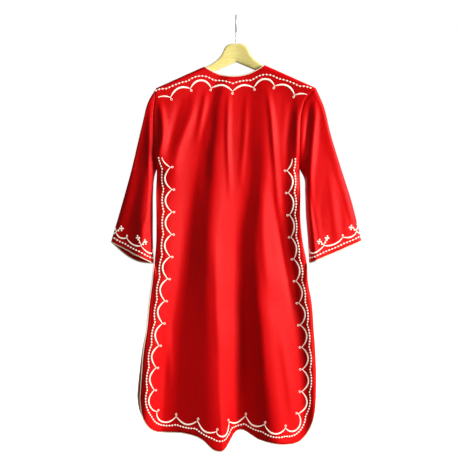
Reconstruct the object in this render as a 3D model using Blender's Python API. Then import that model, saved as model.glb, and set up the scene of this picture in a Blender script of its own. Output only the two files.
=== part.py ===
"""Embroidered folk dress hanging on a wooden hanger.

Metres, +Z up. The origin is the inside top of the hanger's hook, where the
dress is held. +X is the viewer's right, the back of the dress faces -Y and
its front faces +Y. The cloth is a thin wall and each cut piece is one object.
"""

import math
from dataclasses import dataclass

import bmesh
import bpy
import numpy as np
from mathutils import Vector
from mathutils.bvhtree import BVHTree

MM = 0.001


def lerp(start, end, share):
    """Value a share of the way from start to end."""
    return start + (end - start) * share


def ease(share):
    """Share from 0 to 1, slow at both ends."""
    share = min(max(share, 0.0), 1.0)
    return share * share * (3.0 - 2.0 * share)


def unit(vectors):
    """Vectors of length one."""
    return vectors / np.linalg.norm(vectors, axis=-1, keepdims=True)


class Table:
    """Rows of numbers under named columns, read on a smooth curve through them."""

    def __init__(self, columns, *rows):
        data = np.array(sorted(rows), float)
        self.columns = columns.split()
        self.keys = data[:, 0]
        self.values = data
        self.slopes = np.gradient(data, self.keys, axis=0)

    def read(self, key, column):
        """Value of a column at a value of the first column."""
        number = self.columns.index(column)
        key = min(max(key, self.keys[0]), self.keys[-1])
        row = min(int(np.searchsorted(self.keys, key, side="right")) - 1, len(self.keys) - 2)
        step = self.keys[row + 1] - self.keys[row]
        t = (key - self.keys[row]) / step
        first, second = self.values[row, number], self.values[row + 1, number]
        rise, fall = self.slopes[row, number] * step, self.slopes[row + 1, number] * step
        bend = first * (1 + 2 * t) + rise * t
        return float(bend * (1 - t) ** 2 + (second * (3 - 2 * t) - fall * (1 - t)) * t ** 2)


# Cloth, seams and trims
WALL = 1.2 * MM
SEAM_GAP = 0.3 * MM
HALF_GAP = SEAM_GAP / 2
REST_GAP = 0.45 * MM
PIPING_RADIUS = 1.4 * MM
WIDEST_MITRE = 1.6

# Shoulder line, from the round of the neck down to the shoulder tips
ROOF_TOP = -0.0945
ROOF_SLOPE = 0.47
ROOF_ROUND = 0.020
TIP_X = 0.2065

# Neck points, where the shoulder seams end
NECK_LEFT = -0.084
NECK_RIGHT = 0.075


def roof(x):
    """Height of the shoulder line."""
    return ROOF_TOP - ROOF_SLOPE * math.hypot(x, ROOF_ROUND)


# Heights down the side of the dress
TIP_Z = roof(TIP_X)
ARMPIT_Z = -0.399
SLIT_Z = -0.638
CORNER_Z = -0.995

# Side edges: armhole to the armpit, then the side seam, then the slit
EDGES = Table(
    "z left right",
    (TIP_Z, -TIP_X, TIP_X),
    (-0.2220, -0.2112, 0.1800),
    (-0.2535, -0.2145, 0.1700),
    (-0.3130, -0.2145, 0.1660),
    (-0.3600, -0.2120, 0.1650),
    (ARMPIT_Z, -0.2055, 0.1650),
    (-0.4600, -0.2055, 0.1664),
    (-0.5350, -0.2045, 0.1664),
    (-0.6000, -0.2055, 0.1740),
    (SLIT_Z, -0.2090, 0.1820),
    (-0.7000, -0.2155, 0.1870),
    (-0.7420, -0.2210, 0.1950),
    (-0.8200, -0.2288, 0.2015),
    (-0.8720, -0.2366, 0.2054),
    (-0.9370, -0.2418, 0.2080),
    (CORNER_Z, -0.2457, 0.2075),
)

# Hem height across the panel, before its corners are rounded
HEM = Table(
    "across z",
    (0.00, -1.0765),
    (0.15, -1.0815),
    (0.25, -1.0830),
    (0.35, -1.0975),
    (0.43, -1.1260),
    (0.56, -1.0810),
    (0.68, -1.1020),
    (0.80, -1.1130),
    (1.00, -1.1090),
)
CORNER_LEFT = 0.049
CORNER_RIGHT = 0.078

# Depth of the garment: the roll over the hanger, then the body's half depth
ROLL_DEPTHS = (1 * MM, 4 * MM, 10 * MM)
ROLL_HALF = 9 * MM
BODY_OPENS_OVER = 0.220
ARMHOLE_HALF = 24 * MM
FLARE = 9 * MM
SIDE_EASE = 14 * MM
EDGE_REACH = 4
SLIT_START = 15 * MM
SLIT_OPENING = Table(
    "below half",
    (0.000, HALF_GAP),
    (SLIT_START, 4.2 * MM),
    (0.060, 6.5 * MM),
    (0.180, 9.5 * MM),
    (SLIT_Z - CORNER_Z, 14 * MM),
)

# The hanger's arms sweep toward -Y, and the hem is turned a little
HANGER_SWEEP = 0.12
SWEEP_BELOW = 0.35
BODY_TURN = 20 * MM
TURN_OVER = 0.5

# Folds: the share of the width where each lies and how far it stands out, by height
FOLD_HEIGHTS = (-0.222, -0.40, -0.61, -0.87, -1.12)
BACK_FOLDS = (
    ("left ridge", (0.07, 0.06, 0.06, 0.06, 0.06), (1, 3, 6, 8, 9)),
    ("left valley", (0.39, 0.267, 0.19, 0.194, 0.19), (-3, -8, -12, -14, -16)),
    ("middle ridge", (0.46, 0.42, 0.381, 0.40, 0.44), (3, 8, 14, 20, 26)),
    ("middle valley", (0.64, 0.625, 0.548, 0.547, 0.53), (-3, -7, -12, -16, -18)),
    ("right ridge", (0.75, 0.737, 0.68, 0.70, 0.77), (4, 9, 15, 20, 22)),
    ("right valley", (0.89, 0.877, 0.905, 0.90, 0.92), (-3, -8, -12, -10, -6)),
)
FRONT_FOLDS = (
    ("left ridge", (0.10, 0.10, 0.11, 0.12, 0.13), (2, 4, 7, 9, 10)),
    ("left valley", (0.22, 0.24, 0.26, 0.27, 0.28), (-2, -5, -8, -10, -12)),
    ("middle ridge", (0.40, 0.39, 0.41, 0.43, 0.42), (2, 6, 10, 14, 17)),
    ("middle valley", (0.55, 0.56, 0.58, 0.60, 0.60), (-2, -5, -9, -11, -13)),
    ("right ridge", (0.73, 0.72, 0.74, 0.75, 0.77), (3, 7, 10, 13, 16)),
    ("right valley", (0.90, 0.89, 0.90, 0.91, 0.91), (-2, -4, -7, -7, -6)),
)
FOLDS_FADE_OVER = 60 * MM

# Spacing of the wall's points
SHOULDER_COLUMNS = (0.0, 0.04, 0.10, 0.18, 0.29, 0.42, 0.56, 0.70, 0.85, 1.0)
ARMHOLE_DEPTHS = (24, 46, 74, 105, 135, 162, 183, 195)
SEAM_ROWS = 7
SLIT_ROWS = 9

# Sleeves: outer fold and inner seam from shoulder to cuff
LEFT_SLEEVE = Table(
    "along outer_x outer_z inner_x inner_z",
    (0.00, -TIP_X, TIP_Z, -0.2055, ARMPIT_Z),
    (0.10, -0.2265, -0.226, -0.2125, -0.424),
    (0.25, -0.2430, -0.288, -0.2155, -0.461),
    (0.50, -0.2697, -0.402, -0.2160, -0.523),
    (0.75, -0.2970, -0.502, -0.2160, -0.585),
    (1.00, -0.3224, -0.590, -0.2135, -0.645),
)
RIGHT_SLEEVE = Table(
    "along outer_x outer_z inner_x inner_z",
    (0.00, TIP_X, TIP_Z, 0.1650, ARMPIT_Z),
    (0.10, 0.2265, -0.238, 0.1780, -0.424),
    (0.25, 0.2430, -0.303, 0.1810, -0.461),
    (0.50, 0.2700, -0.391, 0.1835, -0.523),
    (0.75, 0.3016, -0.4875, 0.1890, -0.585),
    (1.00, 0.3276, -0.588, 0.1924, -0.645),
)

# Half depth of each cuff from its outer fold to its inner seam
LEFT_CUFF = Table(
    "down near far",
    (0.00, 0.0, 0.0),
    (0.005, 2.2 * MM, 2.2 * MM),
    (0.02, 4.2 * MM, 4.4 * MM),
    (0.05, 6.2 * MM, 8 * MM),
    (0.20, 10 * MM, 17 * MM),
    (0.45, 20 * MM, 25 * MM),
    (0.70, 36 * MM, 25 * MM),
    (0.88, 24 * MM, 17 * MM),
    (0.95, 13 * MM, 10 * MM),
    (1.00, 0.0, 0.0),
)
RIGHT_CUFF = Table(
    "down near far",
    (0.00, 0.0, 0.0),
    (0.005, 2.2 * MM, 2.2 * MM),
    (0.02, 4.4 * MM, 4.4 * MM),
    (0.05, 8 * MM, 8 * MM),
    (0.15, 15 * MM, 14 * MM),
    (0.35, 26 * MM, 23 * MM),
    (0.50, 33 * MM, 26 * MM),
    (0.64, 25 * MM, 25 * MM),
    (0.80, 32 * MM, 20 * MM),
    (0.94, 16 * MM, 10 * MM),
    (1.00, 0.0, 0.0),
)
SLEEVE_RINGS = (0.0, 0.03, 0.08, 0.16, 0.26, 0.37, 0.48, 0.60, 0.72, 0.84, 0.93, 1.0)
FAR_CUFF_DROP = 18 * MM

# Raised scallops of the embroidery, measured from the edges
SCALLOP_INSET = 41 * MM
SCALLOP_PITCH = 58 * MM
SCALLOP_BULGE = 17 * MM
CUFF_INSET = 28 * MM
CUFF_BULGE = 8 * MM
CUFF_SCALLOPS = 6
SCALLOP_STEPS = 5
SCALLOP_WIDE = 5.0 * MM
SCALLOP_NARROW = 2.5 * MM
SCALLOP_HEIGHT = 1.3 * MM
THREAD_LIFT = 0.4 * MM
LIFT_PASSES = 4
BAND_LINES = (-1.0, -0.5, 0.0, 0.5, 1.0)
BAND_CHECKS = (0.0, 0.17, 0.33, 0.5, 0.67, 0.83, 1.0)
CUSP_MITRE = 1.5
BORDER_START = 183
CORNER_SMOOTH = 18 * MM
GUIDE_SMOOTH = 10 * MM
YOKE_SMOOTH = 22 * MM
YOKE_LEFT_END = 12 * MM
YOKE_RIGHT_END = 30 * MM
YOKE_BULGE = 14 * MM

# Wooden hanger: its top in the neck opening, then along under the shoulders
BAR_HALF_SPAN = 0.192
BAR_HALF_THICK = 5.0 * MM
BAR_ROUND = 4.8 * MM
BAR_TOP = Table(
    "x z",
    (0.0000, -0.0735),
    (0.0120, -0.0738),
    (0.0200, -0.0765),
    (0.0300, -0.0855),
    (0.0353, -0.0980),
    (0.0430, -0.1095),
    (0.0530, -0.1190),
    (0.0637, -0.1272),
    (0.0722, -0.1318),
)
BAR_UNDER_Z = -0.1214
BAR_UNDER_SLOPE = 0.44
BAR_STATIONS = (
    0.0, 0.008, 0.014, 0.020, 0.025, 0.030, 0.034, 0.038, 0.044, 0.052, 0.062, 0.072,
    0.100, 0.145, 0.180, 0.188, 0.191, 0.192,
)
BAR_CORNER_STEPS = 2

# Wire hook, a turn in the YZ plane over a shank that screws into the bar
HOOK_RADIUS = 1.8 * MM
HOOK_INSIDE = 19 * MM
HOOK_TIP_ANGLE = -20
HOOK_BACK_ANGLE = 235
HOOK_TURN_STEPS = 16
HOOK_BEND_STEPS = 6
SHANK_TOP_Z = -0.048
SHANK_END_Z = -0.0935
BORE_RADIUS = 2.1 * MM
BORE_DEPTH = 22 * MM

CLOTH_RED = (0.72, 0.003, 0.004, 1.0)
THREAD_CREAM = (1.0, 0.87, 0.69, 1.0)
PALE_WOOD = (0.95, 0.82, 0.32, 1.0)
HOOK_STEEL = (0.70, 0.70, 0.70, 1.0)


def roll_half(depth, body_half):
    """Half of the garment's depth at a depth below its shoulder line."""
    roll_depth = ROLL_DEPTHS[-1]
    if depth < roll_depth:
        return ROLL_HALF * math.sqrt(max(1.0 - (1.0 - depth / roll_depth) ** 2, 0.0))
    return lerp(ROLL_HALF, body_half, ease((depth - roll_depth) / BODY_OPENS_OVER))


def middle(x, z):
    """y of the surface midway between the back and the front."""
    drop = ease((TIP_Z - z) / TURN_OVER)
    sweep = -HANGER_SWEEP * math.hypot(x, ROOF_ROUND) * lerp(1.0, SWEEP_BELOW, drop)
    return sweep + BODY_TURN * min(max(x / TIP_X, -1.2), 1.2) * drop


def armhole_half(x, z):
    """Half depth of the armhole at a point of its seam."""
    share = min((TIP_Z - z) / (TIP_Z - ARMPIT_Z), 1.0)
    return roll_half(max(roof(x) - z, 0.0), ARMHOLE_HALF) * math.sqrt(1.0 - share ** 4)


def edge_half(x, z):
    """Half of the distance between the two panels at their side edge."""
    if z > ARMPIT_Z:
        return max(armhole_half(x, z), HALF_GAP)
    if z > SLIT_Z:
        return HALF_GAP
    return SLIT_OPENING.read(SLIT_Z - z, "half")


def corner_rise(from_edge, radius, rise):
    """How far the hem is raised at a distance from the panel's side edge."""
    if from_edge >= radius:
        return 0.0
    return rise * (1.0 - math.sqrt(1.0 - (1.0 - from_edge / radius) ** 2))


def width_point(edge_z, across):
    """x at a share of the way across; the cloth follows its edges' curves only near them."""
    left = EDGES.read(edge_z, "left")
    right = EDGES.read(edge_z, "right")
    x = lerp(-TIP_X, TIP_X, across)
    x += (left + TIP_X) * (1.0 - across) ** EDGE_REACH
    x += (right - TIP_X) * across ** EDGE_REACH
    return x, left, right


def edge_rows():
    """Shares of the way down a side edge where the wall has its points."""
    depths = [0.0, *ROLL_DEPTHS, *(depth * MM for depth in ARMHOLE_DEPTHS)]
    depths += [TIP_Z - z for z in np.linspace(ARMPIT_Z, SLIT_Z, SEAM_ROWS + 1)]
    depths += [TIP_Z - z for z in np.linspace(SLIT_Z - SLIT_START, CORNER_Z, SLIT_ROWS + 1)]
    return [depth / (TIP_Z - CORNER_Z) for depth in depths]


ARMHOLE_ROWS = 1 + len(ROLL_DEPTHS) + len(ARMHOLE_DEPTHS) + 1
ARMPIT_ROW = ARMHOLE_ROWS - 1
SLIT_ROW = ARMPIT_ROW + SEAM_ROWS


@dataclass(frozen=True)
class Panel:
    """The back or the front of the dress, from its shoulders to its hem."""

    name: str
    side: int
    neck_depth: float
    neck_power: float
    neck_columns: int
    body_half: float
    folds: tuple

    def top(self, across):
        """Height of the panel's top edge: shoulder seams and neckline."""
        x = lerp(-TIP_X, TIP_X, across)
        if x <= NECK_LEFT or x >= NECK_RIGHT:
            return roof(x)
        share = (x - NECK_LEFT) / (NECK_RIGHT - NECK_LEFT)
        scoop = 1.0 - abs(2.0 * share - 1.0) ** self.neck_power
        return lerp(roof(NECK_LEFT), roof(NECK_RIGHT), share) - self.neck_depth * scoop

    def bottom(self, across):
        """Height of the hem, with its rounded corners."""
        x, left, right = width_point(CORNER_Z, across)
        left_rise = CORNER_Z - HEM.read(0.0, "z")
        right_rise = CORNER_Z - HEM.read(1.0, "z")
        rise = corner_rise(x - left, CORNER_LEFT, left_rise)
        rise += corner_rise(right - x, CORNER_RIGHT, right_rise)
        return HEM.read((x - left) / (right - left), "z") + rise

    def fold(self, across, z):
        """How far the folds stand out of the panel."""
        lines = []
        for _, places, sizes in self.folds:
            rows = zip(FOLD_HEIGHTS, places, sizes)
            line = Table("z place out", *rows)
            lines.append((line.read(z, "place"), line.read(z, "out") * MM))
        before = (0.0, lines[0][1] / 2)
        for place in (*lines, (1.0, lines[-1][1] / 2)):
            if across <= place[0]:
                share = (across - before[0]) / (place[0] - before[0])
                return lerp(before[1], place[1], ease(share))
            before = place
        return before[1]

    def point(self, across, down):
        """Point of the outer face at shares of the way across and down."""
        edge_z = lerp(TIP_Z, CORNER_Z, down)
        x, left, right = width_point(edge_z, across)
        z = lerp(self.top(across), self.bottom(across), down)
        depth = max(roof(x) - z, 0.0)
        fade = ease((depth - ROLL_DEPTHS[-1]) / FOLDS_FADE_OVER)
        inside = roll_half(depth, self.body_half) + FLARE * depth
        inside += fade * self.fold((x - left) / (right - left), z)
        edge = lerp(edge_half(left, edge_z), edge_half(right, edge_z), across)
        cap = 1.0 - math.exp(-(x - left) / SIDE_EASE)
        cap *= 1.0 - math.exp(-(right - x) / SIDE_EASE)
        half = max(lerp(edge, inside, cap), HALF_GAP)
        return (x, middle(x, z) + self.side * half, z)

    def columns(self):
        """Shares of the way across where the wall has its points."""
        left = (NECK_LEFT + TIP_X) / (2 * TIP_X)
        right = (NECK_RIGHT + TIP_X) / (2 * TIP_X)
        neck_width = NECK_RIGHT - NECK_LEFT
        steepness = 2 * self.neck_power * self.neck_depth + ROOF_SLOPE * neck_width
        turn = [depth / steepness for depth in ROLL_DEPTHS]
        level = np.linspace(turn[-1], 1 - turn[-1], self.neck_columns)
        neck = [*turn[:-1], *level, *(1 - share for share in reversed(turn[:-1]))]
        shares = [left * share for share in SHOULDER_COLUMNS]
        shares += [lerp(left, right, share) for share in neck]
        shares += [1 - (1 - right) * share for share in reversed(SHOULDER_COLUMNS)]
        return shares

    def grid(self):
        """Points of the outer face, row by row from the top."""
        columns = self.columns()
        return np.array([[self.point(across, down) for across in columns] for down in edge_rows()])

    def shoulder_count(self):
        """Number of columns along each shoulder seam."""
        return len(SHOULDER_COLUMNS)


BACK = Panel("back", -1, 0.028, 2.2, 14, 28 * MM, BACK_FOLDS)
FRONT = Panel("front", 1, 0.105, 1.6, 12, 26 * MM, FRONT_FOLDS)


def grid_normals(points, facing, wrap=False):
    """Unit normals of a grid of points, and the mitre that each needs."""
    shown = np.concatenate([points, points[:, :1]], axis=1) if wrap else points
    falling = shown[1:, 1:] - shown[:-1, :-1]
    rising = shown[:-1, 1:] - shown[1:, :-1]
    cells = unit(np.cross(falling, rising)) * facing
    total = np.zeros_like(shown)
    corners = (
        (slice(0, -1), slice(0, -1)),
        (slice(0, -1), slice(1, None)),
        (slice(1, None), slice(0, -1)),
        (slice(1, None), slice(1, None)),
    )
    for corner in corners:
        total[corner] += cells
    if wrap:
        total[:, 0] += total[:, -1]
        total = total[:, :-1]
    normals = unit(total)
    agreement = np.zeros(shown.shape[:2])
    count = np.zeros(shown.shape[:2])
    closed = np.concatenate([normals, normals[:, :1]], axis=1) if wrap else normals
    for corner in corners:
        agreement[corner] += np.sum(closed[corner] * cells, axis=-1)
        count[corner] += 1
    mitres = np.clip(count / agreement, 1.0, WIDEST_MITRE)
    return normals, mitres[:, : points.shape[1]]


def armhole_seam(side):
    """Outer points of one armhole seam, tip to armpit, near and far, with its wall's offsets."""
    column = "left" if side < 0 else "right"
    heights = [lerp(TIP_Z, CORNER_Z, down) for down in edge_rows()[:ARMHOLE_ROWS]]
    seam = []
    for z in heights:
        x = EDGES.read(z, column)
        half = edge_half(x, z)
        seam.append((x, middle(x, z), z, half))
    seam = np.array(seam)
    profile = seam[:, [3, 2]]
    profile[0, 0] = 0.0
    profile[-1, 0] = 0.0
    tangents = unit(np.gradient(profile, axis=0))
    outward = np.stack([-tangents[:, 1], tangents[:, 0]], axis=1)
    outward[0] = (0.0, 1.0)
    outward[-1] = (0.0, -1.0)
    shares = (TIP_Z - seam[:, 2]) / (TIP_Z - ARMPIT_Z)
    inset = WALL * 1.2 * shares ** 4
    return seam, outward, inset


def panel_walls(panel):
    """Outer and inner points of a panel."""
    outer = panel.grid()
    normals, mitres = grid_normals(outer, -panel.side)
    inner = outer - normals * (WALL * mitres)[..., None]
    last = outer.shape[1] - 1
    seams = panel.shoulder_count()
    for column in (*range(seams), *range(last + 1 - seams, last + 1)):
        x = outer[0, column, 0]
        over = unit(np.array((ROOF_SLOPE * x / math.hypot(x, ROOF_ROUND), 0.0, 1.0)))
        inner[0, column] = outer[0, column] - over * WALL
    for column, side in ((0, -1), (last, 1)):
        _, outward, inset = armhole_seam(side)
        for row in range(1, ARMHOLE_ROWS):
            inward = (-side * inset[row], -panel.side * outward[row, 0] * WALL, -outward[row, 1] * WALL)
            inner[row, column] = outer[row, column] + inward
        for row in range(ARMHOLE_ROWS, SLIT_ROW + 1):
            width = min(WALL / abs(normals[row, column, 0]), WALL * WIDEST_MITRE)
            inner[row, column] = outer[row, column] - (side * width, 0.0, 0.0)
    return outer, inner, normals


@dataclass(frozen=True)
class Sleeve:
    """A set-in sleeve, as rings from the armhole to the cuff."""

    name: str
    side: int
    lines: Table
    cuff: Table

    def rows(self):
        """Shares of the way from the sleeve's outer fold to its inner seam."""
        scale = (TIP_Z - CORNER_Z) / (TIP_Z - ARMPIT_Z)
        return [min(down * scale, 1.0) for down in edge_rows()[:ARMHOLE_ROWS]]

    def point(self, along, down, face):
        """Point of the outer face; the face is near, far or a fold."""
        x = lerp(self.lines.read(along, "outer_x"), self.lines.read(along, "inner_x"), down)
        z = lerp(self.lines.read(along, "outer_z"), self.lines.read(along, "inner_z"), down)
        seam_z = lerp(TIP_Z, ARMPIT_Z, down)
        seam_x = EDGES.read(seam_z, "left" if self.side < 0 else "right")
        straight = lerp(self.lines.read(0.0, "outer_x"), self.lines.read(0.0, "inner_x"), down)
        x += (seam_x - straight) * (1.0 - along) ** 2 + self.side * SEAM_GAP
        if face == "fold":
            return (x, middle(x, z), z)
        half = lerp(armhole_half(seam_x, seam_z), self.cuff.read(down, face), ease(along))
        if face == "near":
            return (x, middle(x, z) - half, z)
        return (x, middle(x, z) + half, z - FAR_CUFF_DROP * math.sin(math.pi * down) * along ** 2)

    def ring(self, along):
        """Points round the sleeve: the near face down and the far face up."""
        rows = self.rows()
        near = [self.point(along, down, "near") for down in rows[1:-1]]
        far = [self.point(along, down, "far") for down in reversed(rows[1:-1])]
        return [self.point(along, 0.0, "fold"), *near, self.point(along, 1.0, "fold"), *far]

    def walls(self):
        """Outer and inner points of the sleeve."""
        outer = np.array([self.ring(along) for along in SLEEVE_RINGS])
        seam, outward, inset = armhole_seam(self.side)
        outer[0, :, 0] = [*seam[:, 0], *seam[-2:0:-1, 0]]
        outer[0, :, 0] += self.side * SEAM_GAP
        normals, mitres = grid_normals(outer, -self.side, wrap=True)
        inner = outer - normals * (WALL * mitres)[..., None]
        count = len(seam)
        for number in range(outer.shape[1]):
            row = number if number < count else 2 * count - 2 - number
            face = -1 if number < count else 1
            shift = (self.side * inset[row], -face * outward[row, 0] * WALL, -outward[row, 1] * WALL)
            inner[0, number] = outer[0, number] + shift
        return outer, inner, normals


SLEEVES = (
    Sleeve("left", -1, LEFT_SLEEVE, LEFT_CUFF),
    Sleeve("right", 1, RIGHT_SLEEVE, RIGHT_CUFF),
)


def grid_triangles(rows, columns, wrap=False):
    """Triangles between the points of a grid, as numbers of its points."""
    triangles = []
    for row in range(rows - 1):
        for column in range(columns if wrap else columns - 1):
            here = row * columns + column
            right = row * columns + (column + 1) % columns
            triangles.append((here, here + columns, right + columns))
            triangles.append((here, right + columns, right))
    return triangles


def rim_loops(rows, columns, wrap):
    """Loops of point numbers round the open edges of a grid."""
    if wrap:
        return [list(range(columns)), list(range((rows - 1) * columns, rows * columns))]
    top = list(range(columns))
    right = [row * columns + columns - 1 for row in range(1, rows)]
    bottom = [(rows - 1) * columns + column for column in range(columns - 2, -1, -1)]
    left = [row * columns for row in range(rows - 2, 0, -1)]
    return [[*top, *right, *bottom, *left]]


def new_material(name, color, roughness, metallic=0.0):
    """Principled material of one colour."""
    material = bpy.data.materials.new(name)
    material.use_nodes = True
    shader = material.node_tree.nodes["Principled BSDF"]
    shader.inputs["Base Color"].default_value = color
    shader.inputs["Roughness"].default_value = roughness
    shader.inputs["Metallic"].default_value = metallic
    material.diffuse_color = color
    return material


def add_object(name, data, material, collection):
    """Object of a mesh or curve, in a collection and with its material."""
    data.materials.append(material)
    created = bpy.data.objects.new(name, data)
    collection.objects.link(created)
    return created


def solid_mesh(name, vertices, faces, smooth_angle=None):
    """Closed mesh with its faces turned outward."""
    mesh = bpy.data.meshes.new(name)
    mesh.from_pydata([tuple(vertex) for vertex in vertices], [], faces)
    shape = bmesh.new()
    shape.from_mesh(mesh)
    bmesh.ops.recalc_face_normals(shape, faces=shape.faces)
    shape.to_mesh(mesh)
    shape.free()
    if smooth_angle is not None:
        mesh.shade_smooth()
        mesh.set_sharp_from_angle(angle=math.radians(smooth_angle))
    return mesh


def wall_mesh(name, outer, inner, wrap=False):
    """Closed wall between an outer and an inner grid of points."""
    rows, columns = outer.shape[:2]
    offset = rows * columns
    triangles = grid_triangles(rows, columns, wrap)
    faces = list(triangles)
    faces += [(a + offset, c + offset, b + offset) for a, b, c in triangles]
    for loop in rim_loops(rows, columns, wrap):
        for here, following in zip(loop, [*loop[1:], loop[0]]):
            faces.append((following, here, here + offset))
            faces.append((following, here + offset, following + offset))
    vertices = np.concatenate([outer.reshape(-1, 3), inner.reshape(-1, 3)])
    return solid_mesh(name, vertices, faces, smooth_angle=50)


def tube_curve(name, path, radius, closed, resolution):
    """Round tube along a path of points."""
    curve = bpy.data.curves.new(name, "CURVE")
    curve.dimensions = "3D"
    spline = curve.splines.new("POLY")
    spline.points.add(len(path) - 1)
    for target, point in zip(spline.points, path):
        target.co = (*point, 1.0)
    spline.use_cyclic_u = closed
    spline.use_smooth = True
    curve.bevel_depth = radius
    curve.bevel_resolution = resolution
    curve.use_fill_caps = not closed
    return curve


def beside_edge(edge, inside, normals, sink, closed=False):
    """Path of a piping that lies 0.3 mm outside an edge of cloth."""
    if closed:
        tangents = np.roll(edge, -1, axis=0) - np.roll(edge, 1, axis=0)
    else:
        tangents = np.gradient(edge, axis=0)
    tangents = unit(tangents)
    away = edge - inside
    away -= np.sum(away * tangents, axis=1, keepdims=True) * tangents
    away -= np.sum(away * normals, axis=1, keepdims=True) * normals
    return edge + unit(away) * (PIPING_RADIUS + SEAM_GAP) - normals * sink


def hem_edge(outer):
    """Row and column numbers round the hem, slit to slit, and those one step inside."""
    rows, columns = outer.shape[:2]
    first = SLIT_ROW + 1
    last_row, last_column = rows - 1, columns - 1
    left = [((row, 0), (row, 1)) for row in range(first, last_row)]
    bottom = [((last_row, 0), (last_row - 1, 1))]
    bottom += [((last_row, column), (last_row - 1, column)) for column in range(1, last_column)]
    bottom += [((last_row, last_column), (last_row - 1, last_column - 1))]
    right = [((row, last_column), (row, last_column - 1)) for row in range(last_row - 1, first - 1, -1)]
    pairs = [*left, *bottom, *right]
    return tuple(zip(*(pair[0] for pair in pairs))), tuple(zip(*(pair[1] for pair in pairs)))


def hem_piping_path(outer, normals):
    """Path of the piping along one panel's slits and hem."""
    edge, inside = hem_edge(outer)
    return beside_edge(outer[edge], outer[inside], normals[edge], WALL / 2)


def neck_piping_path(walls):
    """Closed path of the piping round the back and front necklines."""
    path = []
    for panel in (BACK, FRONT):
        outer, _, normals = walls[panel.name]
        first = panel.shoulder_count() - 1
        last = outer.shape[1] - panel.shoulder_count()
        line = beside_edge(
            outer[0, first:last + 1], outer[1, first:last + 1], normals[0, first:last + 1], 0.0
        )[1:-1]
        neck_x = NECK_LEFT if panel is BACK else NECK_RIGHT
        start = outer[0, first if panel is BACK else last]
        slope = ROOF_SLOPE * neck_x / math.hypot(neck_x, ROOF_ROUND)
        along_roof = unit(np.array((-math.copysign(1.0, neck_x), 0.0, abs(slope))))
        corner = start + along_roof * (PIPING_RADIUS + SEAM_GAP)
        corner[1] = middle(neck_x, roof(neck_x))
        path.append(corner)
        path.extend(line if panel is BACK else line[::-1])
    return path


def cuff_piping_path(outer, normals):
    """Closed path of the piping round one cuff; it turns over the fold in one step."""
    near_fold = len(ROLL_DEPTHS) - 1
    kept = [0, *range(near_fold + 1, outer.shape[1] - near_fold)]
    return beside_edge(outer[-1, kept], outer[-2, kept], normals[-1, kept], WALL / 2, closed=True)


class FlatCloth:
    """Outer face of a piece laid flat, to place a pattern on it."""

    def __init__(self, points, flat, normals):
        rows, columns = points.shape[:2]
        self.triangles = grid_triangles(rows, columns)
        self.points = points.reshape(-1, 3)
        self.normals = normals.reshape(-1, 3)
        self.flat = flat.reshape(-1, 2)
        self.tree = BVHTree.FromPolygons([(a, b, 0.0) for a, b in self.flat], self.triangles)

    def place(self, a, b):
        """Point of the cloth under a place of the flat pattern, and its normal."""
        spot, _, number, _ = self.tree.find_nearest(Vector((a, b, 0.0)))
        corners = list(self.triangles[number])
        flat = self.flat[corners]
        shares = np.linalg.solve((flat[1:] - flat[0]).T, np.array(spot[:2]) - flat[0])
        weights = np.array([1.0 - shares.sum(), *shares])
        return weights @ self.points[corners], unit(weights @ self.normals[corners])


def flat_panel(outer, normals):
    """Panel laid flat: across over its folds from the middle column, and down from the origin."""
    across = np.linalg.norm(np.diff(outer[:, :, :2], axis=1), axis=2)
    across = np.concatenate([np.zeros((len(outer), 1)), np.cumsum(across, axis=1)], axis=1)
    centre = np.argmin(np.abs(outer[0, :, 0]))
    across -= across[:, centre:centre + 1]
    flat = np.stack([across, -outer[:, :, 2]], axis=2)
    return FlatCloth(outer, flat, normals), flat


def flat_cuff(outer, normals):
    """Sleeve laid flat: round its cuff, and up from the cuff's edge."""
    closed = np.concatenate([outer, outer[:, :1]], axis=1)
    closed_normals = np.concatenate([normals, normals[:, :1]], axis=1)
    round_cuff = np.linalg.norm(np.diff(closed[-1], axis=0), axis=1)
    around = np.concatenate([[0.0], np.cumsum(round_cuff)])
    steps = np.linalg.norm(np.diff(closed[::-1], axis=0), axis=2)
    up = np.concatenate([np.zeros((1, closed.shape[1])), np.cumsum(steps, axis=0)])[::-1]
    flat = np.stack([np.broadcast_to(around, up.shape), up], axis=2)
    return FlatCloth(closed, flat, closed_normals), around


def resample(line, count):
    """Points at even distances along a flat line."""
    steps = np.linalg.norm(np.diff(line, axis=0), axis=1)
    along = np.concatenate([[0.0], np.cumsum(steps)])
    wanted = np.linspace(0.0, along[-1], count)
    return np.stack([np.interp(wanted, along, line[:, axis]) for axis in (0, 1)], axis=1)


def line_length(line):
    """Length of a flat line."""
    return float(np.sum(np.linalg.norm(np.diff(line, axis=0), axis=1)))


def smoothed(line, reach):
    """Even line of points with its corners eased over a reach, its ends kept."""
    even = resample(line, max(int(line_length(line) / (4 * MM)), 8))
    step = line_length(even) / (len(even) - 1)
    width = int(3 * reach / step)
    weights = np.exp(-0.5 * (np.arange(-width, width + 1) * step / reach) ** 2)
    weights /= weights.sum()
    first = 2 * even[0] - even[width:0:-1]
    last = 2 * even[-1] - even[-2:-width - 2:-1]
    padded = np.concatenate([first, even, last])
    return np.stack([np.convolve(padded[:, axis], weights, "valid") for axis in (0, 1)], axis=1)


def outward_of(line, turn):
    """Unit vectors square to a flat line, on the side that turn names."""
    tangents = unit(np.gradient(line, axis=0))
    return np.stack([-tangents[:, 1], tangents[:, 0]], axis=1) * turn


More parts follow.
